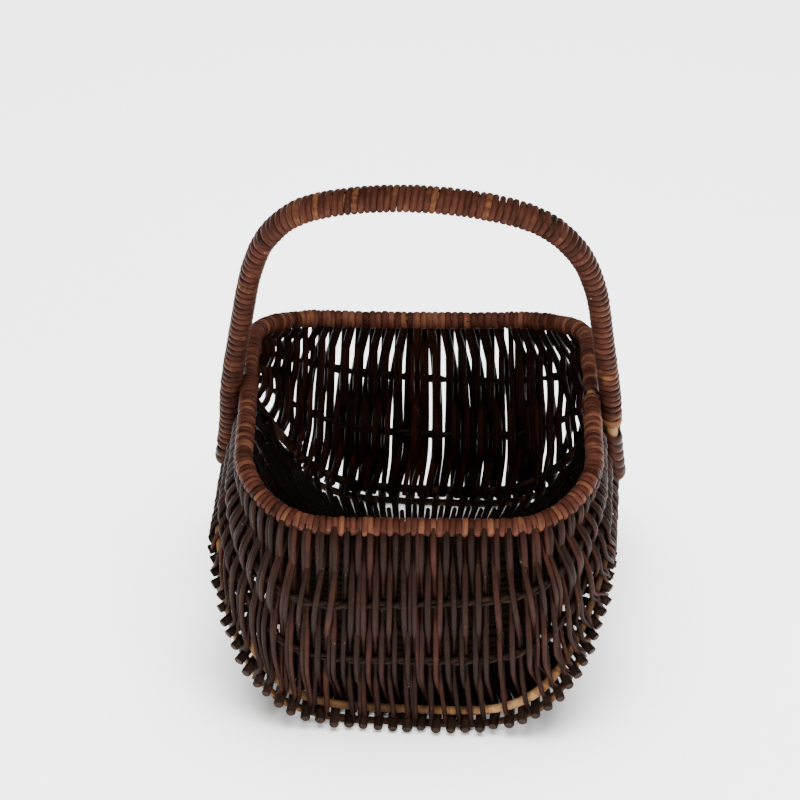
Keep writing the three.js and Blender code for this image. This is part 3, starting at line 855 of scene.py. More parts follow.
@dataclass
class WovenWalls:
    """Wall rods and the turns that bind the rim, in eight panels.

    Pitches and between_chances are those of the front, of the back and of the sides. Girths are half
    thicknesses at the levels, from the rim down. Spreads, tips and tails are the width, or the two ends,
    of a random draw, and the turns' slant is its mean and width.
    """

    form: BasketForm
    seed: int = 7
    pitches: tuple = (0.00545, 0.0060, 0.0047)
    closest_rods: float = 0.0040
    thin_turn_pitch: float = 0.0042
    corner_turn_pitch: float = 0.0043
    pitch_spread: tuple = (0.88, 1.12)
    binding_depth: float = 0.0022
    thin_depth: float = 0.0017
    depth_spread: tuple = (0.92, 1.1)
    binding_reach: float = 0.0059
    thin_reach: float = 0.0049
    reach_spread: float = 0.00022
    turn_half_width: float = 0.54
    turn_slant: tuple = (0.02, 0.07)
    slant_start: float = 0.6
    turn_steps: int = 24
    ahead_share: float = 0.001
    thin_zone: tuple = (0.016, 0.056)
    thin_fade: float = 0.006
    side_margin: float = 0.001
    core_glimpse: tuple = (0.0045, 0.0125)
    rim_tone: float = 0.77
    rim_tone_spread: float = 0.13
    rim_tone_ends: tuple = (0.05, 0.97)
    light_chance: float = 0.06
    light_tones: tuple = (0.9, 1.0)
    # Wall rods are toned far darker than the rim turns that they end in: partly painted shade of the upright
    # wall, which the light from above reaches less than the rim
    shaded_rod_tone: float = 0.22
    rod_tone_share: float = 1.1
    rod_tone_spread: float = 0.05
    rod_tone_ends: tuple = (0.02, 0.98)
    side_gain: float = 1.15
    side_power: float = 1.5
    front_fade: float = 0.12
    corner_gain: float = 3.0
    rib_clearance: float = 0.0050
    rib_spread: tuple = (0.94, 1.08)
    hoop_clearance: float = 0.0058
    hoop_spread: tuple = (0.98, 1.06)
    leg_place: tuple = (0.14, 0.0048)
    leg_zone: float = 0.015
    leg_clearance: float = 0.35
    corner_over: float = 0.8
    levels: tuple = (0.0, 0.37, 0.69, 0.85, 1.0)
    outer_girths: tuple = (0.0029, 0.0028, 0.0026, 0.0021, 0.0015)
    inner_girths: tuple = (0.0025, 0.0029, 0.0028, 0.0026, 0.0023)
    back_girths: tuple = (0.0028, 0.0031, 0.0033, 0.0032, 0.0029)
    side_girths: tuple = (0.0023, 0.0024, 0.0024, 0.0022, 0.0019)
    girth_spread: tuple = (0.86, 1.1)
    head_girths: tuple = (0.6, 0.75, 0.9, 1.0)
    head_angles: tuple = (40, 8)
    between_girth: float = 0.84
    between_chances: tuple = (0.15, 0.95, 0.60)
    corner_chance: float = 1.0
    lean_steps: tuple = (
        (0.000, 0), (0.048, 0), (0.062, 1), (0.235, 1), (0.265, -1), (0.488, -1), (0.498, 0),
        (0.503, 0), (0.513, 1), (0.735, 1), (0.765, -1), (0.938, -1), (0.952, 0), (1.000, 0),
    )
    lean_spread: float = 0.0008
    lean_reach: float = 0.62
    lean_power: float = 1.5
    tip_start: float = 0.76
    tip_stretch: float = 0.3
    outer_tip: tuple = (0.004, 0.009)
    inner_tip: tuple = (0.001, 0.004)
    wave_spread: float = 0.0004
    wave_rate: float = 7.0
    wave_starts: tuple = (0, 6)
    inside_tail: tuple = (0.001, 0.004)
    inside_follow: float = 0.8
    outside_tail: tuple = (0.010, 0.016)
    outside_follow: float = 0.35
    outside_tuck: tuple = (0, 0.2)
    tail_places: tuple = (0.4, 1)
    stations: int = 34

    def __post_init__(self) -> None:
        """Settle the turns and the patterns."""
        self.draw = np.random.default_rng(self.seed)
        self.rod = RodPattern(8, (30,), rounded=0.006)
        self.turn = RingPattern(self.turn_steps, 10, 0.8)
        self.panels = self.split_panels()
        self.turns = self.space_turns()

    def split_panels(self) -> list[Panel]:
        """The eight stretches of the girth, as in the fixed frame."""
        rim = self.form.rim
        front = rim.front / rim.girth
        corner = front + rim.arc / rim.girth
        edges = [-front, front, corner]
        edges += [0.5 - corner, 0.5 - front, 0.5 + front, 0.5 + corner, 1 - corner, 1 - front]
        names = ("front", "front_right_corner", "right", "back_right_corner")
        names += ("back", "back_left_corner", "left", "front_left_corner")
        return [Panel(f"{name}_wall", *stretch) for name, *stretch in zip(names, edges, edges[1:])]

    def thinness(self, share: float) -> float:
        """How thin the binding is, from 0 to 1 behind the handle's legs."""
        start, end = self.thin_zone
        y = self.form.rim_at(share)[0][1]
        into = min(y - start, end - y) / self.thin_fade
        on_side = abs(self.form.rim.at(share)[0][0]) > self.form.rim.half_width - self.side_margin
        return float(ease(into + 0.5)) if on_side else 0.0

    def reach_at(self, share: float) -> float:
        """Distance from the rim's centre line to the middle of the binding."""
        return mix(self.binding_reach, self.thin_reach, self.thinness(share))

    def region(self, share: float) -> tuple[float, float, float]:
        """How much a place belongs to the front, to the back and to the sides."""
        point, out = self.form.rim.at(share)
        side = float(min(1.0, abs(out[0]) * self.side_gain) ** self.side_power)
        front = float(ease(0.5 - point[1] / self.front_fade))
        return front * (1 - side), (1 - front) * (1 - side), side

    def blend(self, share: float, values: tuple) -> Values:
        """A value, or a row of them, from those of the front, of the back and of the sides."""
        return sum(np.array(value) * part for value, part in zip(values, self.region(share)))

    def cornered(self, share: float) -> float:
        """How much a place belongs to a corner, from 0 to 1."""
        out = self.form.rim.at(share)[1]
        return float(min(1.0, abs(out[0] * out[1]) * self.corner_gain))

    def between_chance(self, share: float) -> float:
        """How often a thinner rod stands between two neighbours."""
        return mix(self.blend(share, self.between_chances), self.corner_chance, self.cornered(share))

    def turn_pitch(self, share: float) -> float:
        """Usual width of a turn of the binding: that of a rod's place, or less where the turns are thin."""
        rim = self.form.rim
        x, y, _ = rim.at(share)[0]
        if self.thinness(share) > 0.5:
            return self.thin_turn_pitch
        if y > rim.half_depth - rim.corner and abs(x) > rim.front:
            return self.corner_turn_pitch
        return self.blend(share, self.pitches)

    def space_turns(self) -> list[Turn]:
        """Lay out the turns round the rim, and the families of the rods that they end in.

        Returns:
            The turns, from the front middle.
        """
        girth = self.form.rim.girth
        turns = []
        travelled = 0.0
        last_rod = -1.0
        family = Family.OUTER
        while travelled < girth - self.closest_rods / 2:
            pitch = self.turn_pitch(travelled / girth) * self.draw.uniform(*self.pitch_spread)
            tone = float(np.clip(self.draw.normal(self.rim_tone, self.rim_tone_spread), *self.rim_tone_ends))
            if self.draw.uniform() < self.light_chance:
                tone = float(self.draw.uniform(*self.light_tones))
            ends_in = family if travelled - last_rod >= self.closest_rods else None
            if ends_in:
                last_rod = travelled
                family = family.other
            turns.append(Turn((travelled + pitch / 2) / girth, pitch, tone, ends_in))
            travelled += pitch
        return turns

    def turn_run(self, turn: Turn) -> Run:
        """Course of one turn round the rim.

        Args:
            turn: its place and width.
        Returns:
            The course.
        """
        angle = CIRCLE * round_shares(self.turn_steps)
        centre, out = self.form.rim_at(turn.share)
        ahead = unit(self.form.rim_at(turn.share + self.ahead_share)[0] - centre)
        reach = self.reach_at(turn.share) + self.draw.normal(0, self.reach_spread)
        slant = turn.width * self.draw.normal(*self.turn_slant)
        radial = squared_to(ahead, np.cos(angle)[:, None] * out + np.sin(angle)[:, None] * UP)
        points = centre + radial * reach + ahead * (slant * np.sin(angle - self.slant_start))[:, None]
        depth = mix(self.binding_depth, self.thin_depth, self.thinness(turn.share))
        depth *= self.draw.uniform(*self.depth_spread)
        return Run(points, radial, turn.width * self.turn_half_width, depth, closed=True)

    def wall_run(self, share: float, family: Family, girth_share: float = 1.0) -> Run:
        """Course of one wall rod, from the rim over the ribs to its tip at the base hoops.

        Args:
            share: place round the rim.
            family: side on which it starts.
            girth_share: its thickness against the usual one.
        Returns:
            The course.
        """
        form = self.form
        down = np.linspace(0, 1, self.stations)
        shift = self.shift_along(share, family, down) / form.rim.girth
        points, out = form.wall_at(share + shift, down)
        offset = self.weave_offset(share, family, down)
        points = points + out * offset[:, None]
        heads, tails = len(self.head_girths), len(self.tail_places)
        over = np.radians(np.linspace(*self.head_angles, heads))[:, None]
        rise = family.value * np.cos(over) * out[0] + np.sin(over) * UP
        head = form.rim_at(share)[0] + self.reach_at(share) * rise
        step = form.layer_down(share + form.foot_lead + shift[-1])
        ahead = unit(points[-1] - points[-2])
        if offset[-1] < 0:
            length = self.draw.uniform(*self.inside_tail)
            drift = ahead * self.inside_follow + step * (1 - self.inside_follow)
        else:
            length = self.draw.uniform(*self.outside_tail)
            drift = ahead * self.outside_follow + step * (1 - self.outside_follow)
            drift = drift - out[-1] * self.draw.uniform(*self.outside_tuck)
        tail = points[-1] + unit(drift) * np.array(self.tail_places)[:, None] * length
        sides = np.vstack([np.repeat(out[:1], heads, 0), out, np.repeat(out[-1:], tails, 0)])
        levels = np.concatenate([np.zeros(heads), down, np.ones(tails)])
        front_girths = self.outer_girths if family is Family.OUTER else self.inner_girths
        girths = self.blend(share, (front_girths, self.back_girths, self.side_girths))
        radii = np.interp(levels, self.levels, girths) * girth_share * self.draw.uniform(*self.girth_spread)
        radii[:heads] = np.minimum(radii[:heads], np.array(self.head_girths) * radii[heads])
        return Run(np.vstack([head, points, tail]), sides, radii, radii)

    def shift_along(self, share: float, family: Family, down: Rows) -> Rows:
        """How far a rod wanders along the girth on its way down.

        Args:
            share: place round the rim.
            family: side on which it starts.
            down: 0 at the rim and 1 at the upper base hoop.
        Returns:
            The shift at each level.
        """
        if family is Family.OUTER:
            lean, tip = 0.0, self.draw.uniform(*self.outer_tip)
        else:
            steps = float(read_marks(share % 1, self.lean_steps))
            lean = 2 * self.blend(share, self.pitches) * steps
            tip = self.draw.uniform(*self.inner_tip)
        lean += self.draw.normal(0, self.lean_spread)
        shift = lean * (1 - (1 - np.clip(down / self.lean_reach, 0, 1)) ** self.lean_power)
        shift = shift + tip * ease((down - self.tip_start) / self.tip_stretch)
        wave = self.draw.normal(0, self.wave_spread)
        return shift + wave * np.sin(down * self.wave_rate + self.draw.uniform(*self.wave_starts))

    def weave_offset(self, share: float, family: Family, down: Rows) -> Rows:
        """How far a rod stands out from the wall's middle at each level.

        Args:
            share: place round the rim.
            family: side on which it starts.
            down: 0 at the rim and 1 at the upper base hoop.
        Returns:
            The offset at each level, positive on the outside.
        """
        form = self.form
        x, y, _ = form.rim_at(share)[0]
        leg_x, leg_y = self.leg_place
        by_leg = abs(y - leg_y) < self.leg_zone and abs(x) > leg_x
        rib_out = self.rib_clearance * self.draw.uniform(*self.rib_spread)
        outer = rib_out * (self.leg_clearance if by_leg else 1.0)
        hoop_out = self.hoop_clearance * self.draw.uniform(*self.hoop_spread)
        start = self.reach_at(share)
        over = self.draw.uniform() < self.corner_over * self.cornered(share)
        holds = {
            Family.OUTER: (start, -rib_out, outer, hoop_out if over else -hoop_out),
            Family.INNER: (-start, outer, -rib_out, hoop_out),
        }[family]
        marks = (0.0, form.upper_rib.at(share), form.lower_rib.at(share), 1.0)
        offset = np.zeros(len(down))
        for i in range(3):
            inside = (down >= marks[i]) & (down <= marks[i + 1])
            way = ease((down[inside] - marks[i]) / (marks[i + 1] - marks[i]))
            offset[inside] = mix(holds[i], holds[i + 1], way)
        return offset

    def build(self) -> None:
        """Lay every turn and rod and finish the eight panels."""
        bundles = {panel.node: Bundle() for panel in self.panels}

        def lay(pattern: Pattern, run: Run, share: float, tone: float) -> None:
            node = next(panel.node for panel in self.panels if panel.holds(share))
            bundles[node].lay(pattern, run, tone)

        start, end = self.core_glimpse
        for turn in self.turns:
            x, y, _ = self.form.rim_at(turn.share)[0]
            if x < 0 or not start < y < end:
                lay(self.turn, self.turn_run(turn), turn.share, turn.tint)
        for turn in self.turns:
            if turn.family:
                # The turn's tone, lowered to the wall's darker tone: partly painted shade of the wall
                tone = self.shaded_rod_tone + (turn.tint - self.rim_tone) * self.rod_tone_share
                tone += self.draw.normal(0, self.rod_tone_spread)
                tone = float(np.clip(tone, *self.rod_tone_ends))
                lay(self.rod, self.wall_run(turn.share, turn.family), turn.share, tone)
                if self.draw.uniform() < self.between_chance(turn.share):
                    share = (turn.share + turn.width / 2 / self.form.rim.girth) % 1
                    run = self.wall_run(share, turn.family.other, self.between_girth)
                    lay(self.rod, run, share, tone)
        bark = WALL_BARK.material()
        for node, bundle in bundles.items():
            bundle.finish(f"{node}_weave", Slot.WALL, bark, node)


@dataclass
class RimCore:
    """Stout rod inside the binding."""

    form: BasketForm
    stations: int = 240
    sides: int = 12
    tone: float = 0.7

    def build(self) -> None:
        """Lay the closed hoop."""
        points, out = self.form.rim_at(round_shares(self.stations))
        radius = self.form.rim_core_radius
        run = Run(points, out, radius, radius, closed=True)
        finish = ("rim_core_rod", Slot.PEELED, PEELED.material(), "rim_core")
        Bundle.single(RingPattern(self.stations, self.sides), run, self.tone, *finish)


@dataclass
class Ribs:
    """Two ribs inside the weave, each a pair of thin rods laid round one another."""

    form: BasketForm
    seed: int = 31
    strand: float = 0.0023
    strand_wave: float = 0.08
    wave_rate: float = 0.37
    wave_start: float = 18.0
    rise: float = 0.0024
    swing: float = 0.0009
    crossings: int = 52
    tones: tuple = (0.1, 0.4)
    stations: int = 250
    sides: int = 8

    def build(self) -> None:
        """Lay both ribs."""
        bark = RIB_BARK.material()
        pattern = RingPattern(self.stations, self.sides)
        draw = np.random.default_rng(self.seed)
        share = round_shares(self.stations)
        for node, level in (("upper_rib", self.form.upper_rib), ("lower_rib", self.form.lower_rib)):
            centre, out = self.form.wall_at(share, level.at(share))
            bundle = Bundle()
            for phase in (0.0, math.pi):
                angle = math.pi * self.crossings * share + phase
                points = centre + out * (self.swing * np.cos(angle))[:, None]
                points = points + UP * (self.rise * np.sin(angle))[:, None]
                wave = np.sin(angle * self.wave_rate + self.wave_start)
                radius = self.strand * (1 + self.strand_wave * wave)
                bundle.lay(pattern, Run(points, out, radius, radius, True), draw.uniform(*self.tones))
            bundle.finish(f"{node}_pair", Slot.RIB, bark, node)


# Base


@dataclass
class BaseHoops:
    """Two peeled hoops with the ends of the base rods between them.

    The tones are marks of a share of the girth and a tone there: painted light and shade, lighter at the
    front corners and darker along the front middle, the sides and the back, where rods and walls shade
    the hoops. The wobble is the most that each of its waves adds to a hoop's radius, and the waves are
    counts round the girth.
    """

    form: BasketForm
    seed: int = 5
    upper_height: float = 0.0042
    upper_raise: float = 0.0008
    # Painted light and shade round the upper hoop: light at the front corners, dark along the sides and back
    upper_shaded_tones: tuple = (
        (0.00, 0.30), (0.04, 0.45), (0.07, 0.80), (0.095, 0.62), (0.12, 0.22), (0.15, 0.08), (0.25, 0.04),
        (0.50, 0.06), (0.75, 0.04), (0.80, 0.06), (0.83, 0.30), (0.87, 0.60), (0.93, 0.42), (1.00, 0.30),
    )
    # Painted light and shade round the lower hoop, in the same way
    lower_shaded_tones: tuple = (
        (0.00, 0.12), (0.08, 0.22), (0.13, 0.40), (0.20, 0.15), (0.50, 0.06),
        (0.76, 0.20), (0.83, 0.60), (0.90, 0.55), (0.95, 0.20), (1.00, 0.12),
    )
    wobble: float = 0.0001
    waves: tuple = (5, 9, 13, 17, 21, 25, 29)
    stations: int = 250
    sides: int = 12

    def build(self) -> None:
        """Lay both hoops; the basket stands on the lower one."""
        form = self.form
        share = round_shares(self.stations)
        upper, out = form.hoop_at(share)
        down = form.layer_down(share)
        lower = upper + down * 2 * form.layer_step
        upper = upper - down * self.upper_raise
        pattern = RingPattern(self.stations, self.sides)
        peeled = PEELED.material()
        draw = np.random.default_rng(self.seed)
        for node, points, marks, height in (
            ("upper_base_hoop", upper, self.upper_shaded_tones, self.upper_height),
            ("lower_base_hoop", lower, self.lower_shaded_tones, form.hoop_radius),
        ):
            wobble = sum(draw.uniform(0, self.wobble) * np.sin(CIRCLE * n * share + n) for n in self.waves)
            radius = form.hoop_radius + wobble
            run = Run(points, out, radius / form.hoop_radius * height, radius, closed=True)
            finish = (f"{node}_rod", Slot.PEELED, peeled, node)
            Bundle.single(pattern, run, read_marks(share, marks), *finish)


@dataclass
class BaseRods:
    """Long rods from front to back and cross rods from side to side, laid from either end by turns.

    Ranges are the two ends of a random draw, and spreads its mean and width.
    """

    form: BasketForm
    seed: int = 11
    per_side: int = 24
    reach: float = 0.170
    spread: float = 0.12
    short_from: float = 0.5
    short_length: float = 0.4
    droop: float = 0.0042
    droop_range: tuple = (0.7, 1.1)
    sway: float = 0.0007
    knee: float = 0.016
    waist_x: float = 0.150
    waist_half: float = 0.050
    stub: float = 0.0150
    stub_range: tuple = (0.82, 1.12)
    stub_gain: float = 1.15
    side_stub: float = 0.0078
    side_range: tuple = (0.85, 1.15)
    side_fall: tuple = (-0.001, 0.0012)
    butt_range: tuple = (0.90, 1.05)
    tip_radius: float = 0.0023
    tip_inside: tuple = (-0.002, 0.010)
    front_tip: tuple = (-0.014, -0.004)
    cross_jitter: float = 0.0012
    girth_share: float = 1.30
    cross_count: int = 30
    cross_pitch: float = 0.0064
    cross_gap: float = 0.0006
    bearings: tuple = (1, 0.91, 0.78, 0.66, 0.53, 0.38, 0.19)
    stub_tones: tuple = (0.10, 0.60)
    # Share of the hoop's half size past which the painted shade of the base rods ends
    painted_shade_edge: float = 0.9
    fixed_long: int = 27
    fixed_cross: int = 9

    def __post_init__(self) -> None:
        """Settle the trough, the steps along the hoop and the pattern."""
        form = self.form
        self.draw = np.random.default_rng(self.seed)
        self.pattern = RodPattern(10, (40,), rounded=0.0035)
        x = np.linspace(0, self.waist_x, 200)
        self.trough = np.stack([x, np.zeros_like(x), form.hoop_level(x) - form.layer_step], -1)
        self.trough_length = lengths_along(self.trough)
        self.hoop_shares = np.linspace(0, self.reach, 400)
        arc = lengths_along(form.hoop_at(self.hoop_shares)[0])
        self.arc = arc / arc[-1]

    def half(self, index: float) -> tuple[Rows, ...]:
        """Find the front half of a long rod.

        Args:
            index: place from the middle, in steps of the front butts.
        Returns:
            The crossing with the hoops, the direction out of it, the knee and the waist.
        """
        form = self.form
        part, side = abs(index) / self.per_side, np.sign(index)
        share = side * np.interp(part * (1 + self.spread * (1 - part)), self.arc, self.hoop_shares)
        foot, out = form.hoop_at(share)
        crossing = foot + form.layer_down(share) * form.layer_step
        spot = read_rows(part * self.trough_length[-1], self.trough_length, self.trough)
        waist = np.array([spot[0] * side, form.base_shift - self.waist_half, spot[2]])
        return crossing, out, crossing - out * self.knee, waist

    @staticmethod
    def smooth(points: Rows, rounds: int = 2) -> Rows:
        """Round the corners of a line, with its ends kept.

        Args:
            points: the line.
            rounds: how often every corner is cut.
        Returns:
            The rounded line.
        """
        for _ in range(rounds):
            first = points[:-1] * 0.75 + points[1:] * 0.25
            second = points[:-1] * 0.25 + points[1:] * 0.75
            middle = np.stack([first, second], 1).reshape(-1, 3)
            points = np.vstack([points[:1], middle, points[-1:]])
        return points

    def tapered(self, corners: Rows, side: Rows, butt_first: bool) -> Run:
        """Course of a rod that is thick at its butt and thin at its tip.

        Args:
            corners: the rod's corners from the butt, before they are rounded.
            side: a direction square to the rod.
            butt_first: whether the course starts at the butt.
        Returns:
            The course.
        """
        order = 1 if butt_first else -1
        line = self.smooth(corners[::order])
        lengths = lengths_along(line)
        thick = self.form.base_rod_radius * self.girth_share * self.draw.uniform(*self.butt_range)
        radius = mix(thick, self.tip_radius, lengths / lengths[-1])[::order]
        return Run(line, side, radius, radius)

    def long_run(self, index: float, butt_first: bool) -> Run:
        """Course of a long rod.

        Args:
            index: place from the middle, in steps of the front butts.
            butt_first: whether its butt is at the front.
        Returns:
            The course.
        """
        crossing, out, knee, waist = self.half(index)
        turned = np.array([1.0, -1.0, 1.0])
        behind = 2 * self.form.base_shift * ALONG_Y
        tip_range = self.tip_inside if butt_first else self.front_tip
        tip = knee + unit(waist - knee) * self.draw.uniform(*tip_range)
        length = mix(self.side_stub, self.stub, min(1.0, self.stub_gain * out[1] ** 2))
        length *= self.draw.uniform(*self.stub_range)
        butt = crossing + out * length
        butt[0] += self.draw.normal(0, self.sway)
        butt[2] -= self.droop * self.draw.uniform(*self.droop_range)
        line = [butt, crossing, knee, waist, waist * turned + behind, tip * turned + behind]
        if abs(index) > self.short_from * self.per_side and int(2 * abs(index)) % 4 > 1:
            line = [butt, crossing, knee, mix(knee, waist, self.short_length)]
        line = np.array(line) if butt_first else np.array(line) * turned + behind
        return self.tapered(line, UP, butt_first)

    def cross_run(self, y: float, butt_first: bool) -> Run:
        """Course of a cross rod over the long rods.

        Args:
            y: its place from the base's middle.
            butt_first: whether its butt is on the right.
        Returns:
            The course.
        """
        form = self.form
        level = form.side_hoop_level - form.layer_step
        inside = form.hoop.half_width - form.layer_step
        half_low = [[inside, y, level]]
        for part in (*self.bearings, 0):
            _, _, knee, waist = self.half(part * self.per_side)
            past = (abs(y) - self.waist_half) / (abs(knee[1] - form.base_shift) - self.waist_half)
            spot = mix(waist, knee, np.clip(past, 0, 1))
            half_low.append([spot[0], y, spot[2]])
        low = np.array([*half_low, *([-x, y, z] for x, y, z in half_low[-2::-1])])
        along = np.gradient(low, axis=0)
        inward = unit(np.stack([along[:, 2], np.zeros(len(low)), -along[:, 0]], -1))
        inward = np.where(inward[:, 2:3] < 0, -inward, inward)
        lifted = low[1:-1] + inward[1:-1] * (2 * form.base_rod_radius + self.cross_gap)
        end = form.hoop.half_width + self.side_stub * self.draw.uniform(*self.side_range)
        fall = level + self.draw.normal(*self.side_fall)
        corners = np.array([[end, y, fall], low[0], *lifted]) + form.base_shift * ALONG_Y
        corners[:, 0] *= 1 if butt_first else -1
        return self.tapered(corners, ALONG_Y, butt_first)

    def finish(self, kind: str, number: int, count: int, fixed: int, run: Run) -> None:
        """Make one rod, darkened to tone 0 inside the basket by painted shade, and lighter where its butt
        stands out.

        Args:
            kind: long or cross.
            number: the rod's number, from 0.
            count: how many of its kind there are.
            fixed: how many of its kind the fixed frame has.
            run: its course.
        """
        hoop = self.form.hoop
        place = (run.points - self.form.base_shift * ALONG_Y)[:, :2] / [hoop.half_width, hoop.half_depth]
        # Painted shade: 0 inside the basket, rising to 1 past the edge, so only the butts keep their own tone
        outside = np.clip((np.abs(place).max(1) - self.painted_shade_edge) / (1 - self.painted_shade_edge), 0, 1)
        tones = self.draw.uniform(*self.stub_tones) * outside
        node = f"{kind}_base_rod_{1 + round(number * (fixed - 1) / (count - 1)):02d}"
        finish = (f"{kind}_willow_{number + 1:02d}", Slot.BUTT, self.bark, node)
        Bundle.single(self.pattern, run, tones, *finish)

    def build(self) -> None:
        """Lay every base rod as a piece of its own."""
        self.bark = BASE_BARK.material()
        count = 4 * self.per_side + 1
        for number in range(count):
            run = self.long_run(number / 2 - self.per_side, number % 2 == 0)
            self.finish("long", number, count, self.fixed_long, run)
        for number in range(self.cross_count):
            y = (number - (self.cross_count - 1) / 2) * self.cross_pitch
            run = self.cross_run(y + self.draw.normal(0, self.cross_jitter), number % 2 == 0)
            self.finish("cross", number, self.cross_count, self.fixed_cross, run)


# Handle


@dataclass(frozen=True)
class Shoulder:
    """One side of the bow: how it leans in and rounds over."""

    side: int
    height: float
    inset: float
    width: float
    drop: float


@dataclass(frozen=True)
class Lashing:
    """One separate turn low on a leg: its side, drop below the rim, half width, slant and tone."""

    side: int
    below: float
    half_width: float
    slant: float
    tint: float


@dataclass
class BowHandle:
    """Flattened core and the close winding round it.

    Spreads are the mean and width of a random draw.
    """

    form: BasketForm
    seed: int = 3
    plane_y: float = 0.0048
    rise: float = 0.224
    apex_x: float = -0.008
    foot_outset: float = 0.004
    leg_lean: float = 0.45
    round_across: float = 0.32
    round_down: float = 0.45
    core_deep: float = 0.0058
    core_wide: float = 0.0094
    core_tone: float = 0.55
    outer_deep: float = 0.0083
    binding_outer: float = 0.0081
    strand_deep: float = 0.0020
    strand_spread: tuple = (1, 0.06)
    pitch: float = 0.0055
    pitch_spread: tuple = (0, 0.00035)
    squareness: float = 2.3
    rods: int = 5
    tone_spread: tuple = (0.5, 0.15)
    tone_ends: tuple = (0.1, 0.9)
    amber_share: float = 0.04
    amber_tone: float = 0.88
    grip_extra: float = 0.0026
    grip_start: float = 0.10
    grip_fade: float = 0.10
    left_below: float = 0.040
    right_below: float = -0.0245
    lashings: tuple = (
        Lashing(1, -0.0200, 0.0026, 0.10, 0.45),
        Lashing(1, -0.0124, 0.0034, 0.10, 0.60),
        Lashing(1, -0.0038, 0.0036, 0.15, 0.95),
        *(Lashing(1, 0.0122 + 0.0084 * i, 0.0042, 0.70, 0.22 + 0.12 * (i % 3)) for i in range(6)),
        *(Lashing(-1, 0.0425 + 0.0072 * i, 0.0036, 0.60, 0.22 + 0.12 * (i % 2)) for i in range(3)),
    )
    shoulders: tuple = (
        Shoulder(-1, 0.150, 0.022, 0.044, 0.016),
        Shoulder(1, 0.142, 0.018, 0.052, 0.017),
    )
    line_points: int = 900
    core_points: int = 200
    winding_steps: int = 20
    lashing_steps: int = 24

    def __post_init__(self) -> None:
        """Work out the bow."""
        self.draw = np.random.default_rng(self.seed)
        self.line = self.bow_line()
        self.lengths = lengths_along(self.line)
        ahead = unit(np.gradient(self.line, axis=0))
        self.normals = np.stack([-ahead[:, 2], np.zeros(len(ahead)), ahead[:, 0]], -1)

    def side_points(self, bend: Shoulder) -> list[Rows]:
        """Points of one side of the bow.

        Args:
            bend: the side's shoulder.
        Returns:
            The points, from the foot up.
        """
        form = self.form
        foot_z = form.side_hoop_level + form.hoop_radius + form.seat_gap
        side_rim = form.rim_height + form.rim_rise
        leg_x = form.rim.half_width + self.binding_outer + form.seat_gap + self.outer_deep
        crown = form.rim_height + self.rise - bend.drop
        shoulder_z = form.rim_height + bend.height
        shoulder_x = leg_x - bend.inset
        rows = (
            (form.hoop.half_width + self.foot_outset, foot_z),
            (leg_x + self.foot_outset / 2, (foot_z + side_rim) / 2),
            (leg_x, side_rim),
            (leg_x - bend.inset * self.leg_lean, (side_rim + shoulder_z) / 2),
            (shoulder_x, shoulder_z),
            (shoulder_x - bend.width * self.round_across, mix(crown, shoulder_z, self.round_down)),
            (shoulder_x - bend.width, crown),
        )
        return [np.array([bend.side * x, self.plane_y, z]) for x, z in rows]

    def bow_line(self) -> Rows:
        """Draw a smooth line through the bow's points, by the same rule as the fixed core.

        Returns:
            The line's points, from the left foot.
        """
        left, right = (self.side_points(bend) for bend in self.shoulders)
        apex = np.array([self.apex_x, self.plane_y, self.form.rim_height + self.rise])
        knots = [*left, apex, *right[::-1]]
        knots = [2 * knots[0] - knots[1], *knots, 2 * knots[-1] - knots[-2]]
        rows = []
        spans = len(knots) - 3
        for t in np.linspace(0, spans, self.line_points):
            i = min(int(t), spans - 1)
            a, b, c, d = knots[i : i + 4]
            u = t - i
            dt = [math.sqrt(np.linalg.norm(q - p)) for p, q in ((a, b), (b, c), (c, d))]
            start = (b - a) / dt[0] - (c - a) / (dt[0] + dt[1]) + (c - b) / dt[1]
            end = (c - b) / dt[1] - (d - b) / (dt[1] + dt[2]) + (d - c) / dt[2]
            start, end = start * dt[1], end * dt[1]
            square = 3 * (c - b) - 2 * start - end
            cube = 2 * (b - c) + start + end
            rows.append(b + start * u + square * u**2 + cube * u**3)
        return np.array(rows)

    def at(self, length: Rows) -> tuple[Rows, Rows]:
        """Points and normals of the bow at lengths from the left foot."""
        points, normals = (read_rows(length, self.lengths, rows) for rows in (self.line, self.normals))
        return points, unit(normals)

    def length_at(self, side: int, below: float) -> float:
        """Length along the bow at which a leg passes a drop below the rim."""
        rows = range(len(self.line)) if side < 0 else range(len(self.line) - 1, -1, -1)
        height = self.form.rim_height - below
        return float(self.lengths[next(i for i in rows if self.line[i, 2] >= height)])

    def wound(self, length: Rows, around: Rows, extra: Values = 0.0) -> tuple:
        """Lay a rod's line on the core.

        Args:
            length: its place along the bow at each point.
            around: its place round the core, deep and across, 1 at the core's surface.
            extra: how much wider the core is there.
        Returns:
            The line's points and the sides that face out.
        """
        points, normals = self.at(length)
        deep, wide = around[:, :1], around[:, 1:]
        line = points + normals * (self.core_deep + self.strand_deep) * deep
        line = line + ALONG_Y * (self.core_wide + self.strand_deep + extra) * wide
        return line, unit(normals * deep / self.core_deep + ALONG_Y * wide / self.core_wide)

    def build_core(self) -> None:
        """Lay the flattened core."""
        course = self.at(np.linspace(0, self.lengths[-1], self.core_points))
        run = Run(*course, self.core_wide, self.core_deep)
        finish = ("handle_core_rod", Slot.PEELED, PEELED.material(), "handle_core")
        Bundle.single(RodPattern(16, (40, 4), 0.001), run, self.core_tone, *finish)

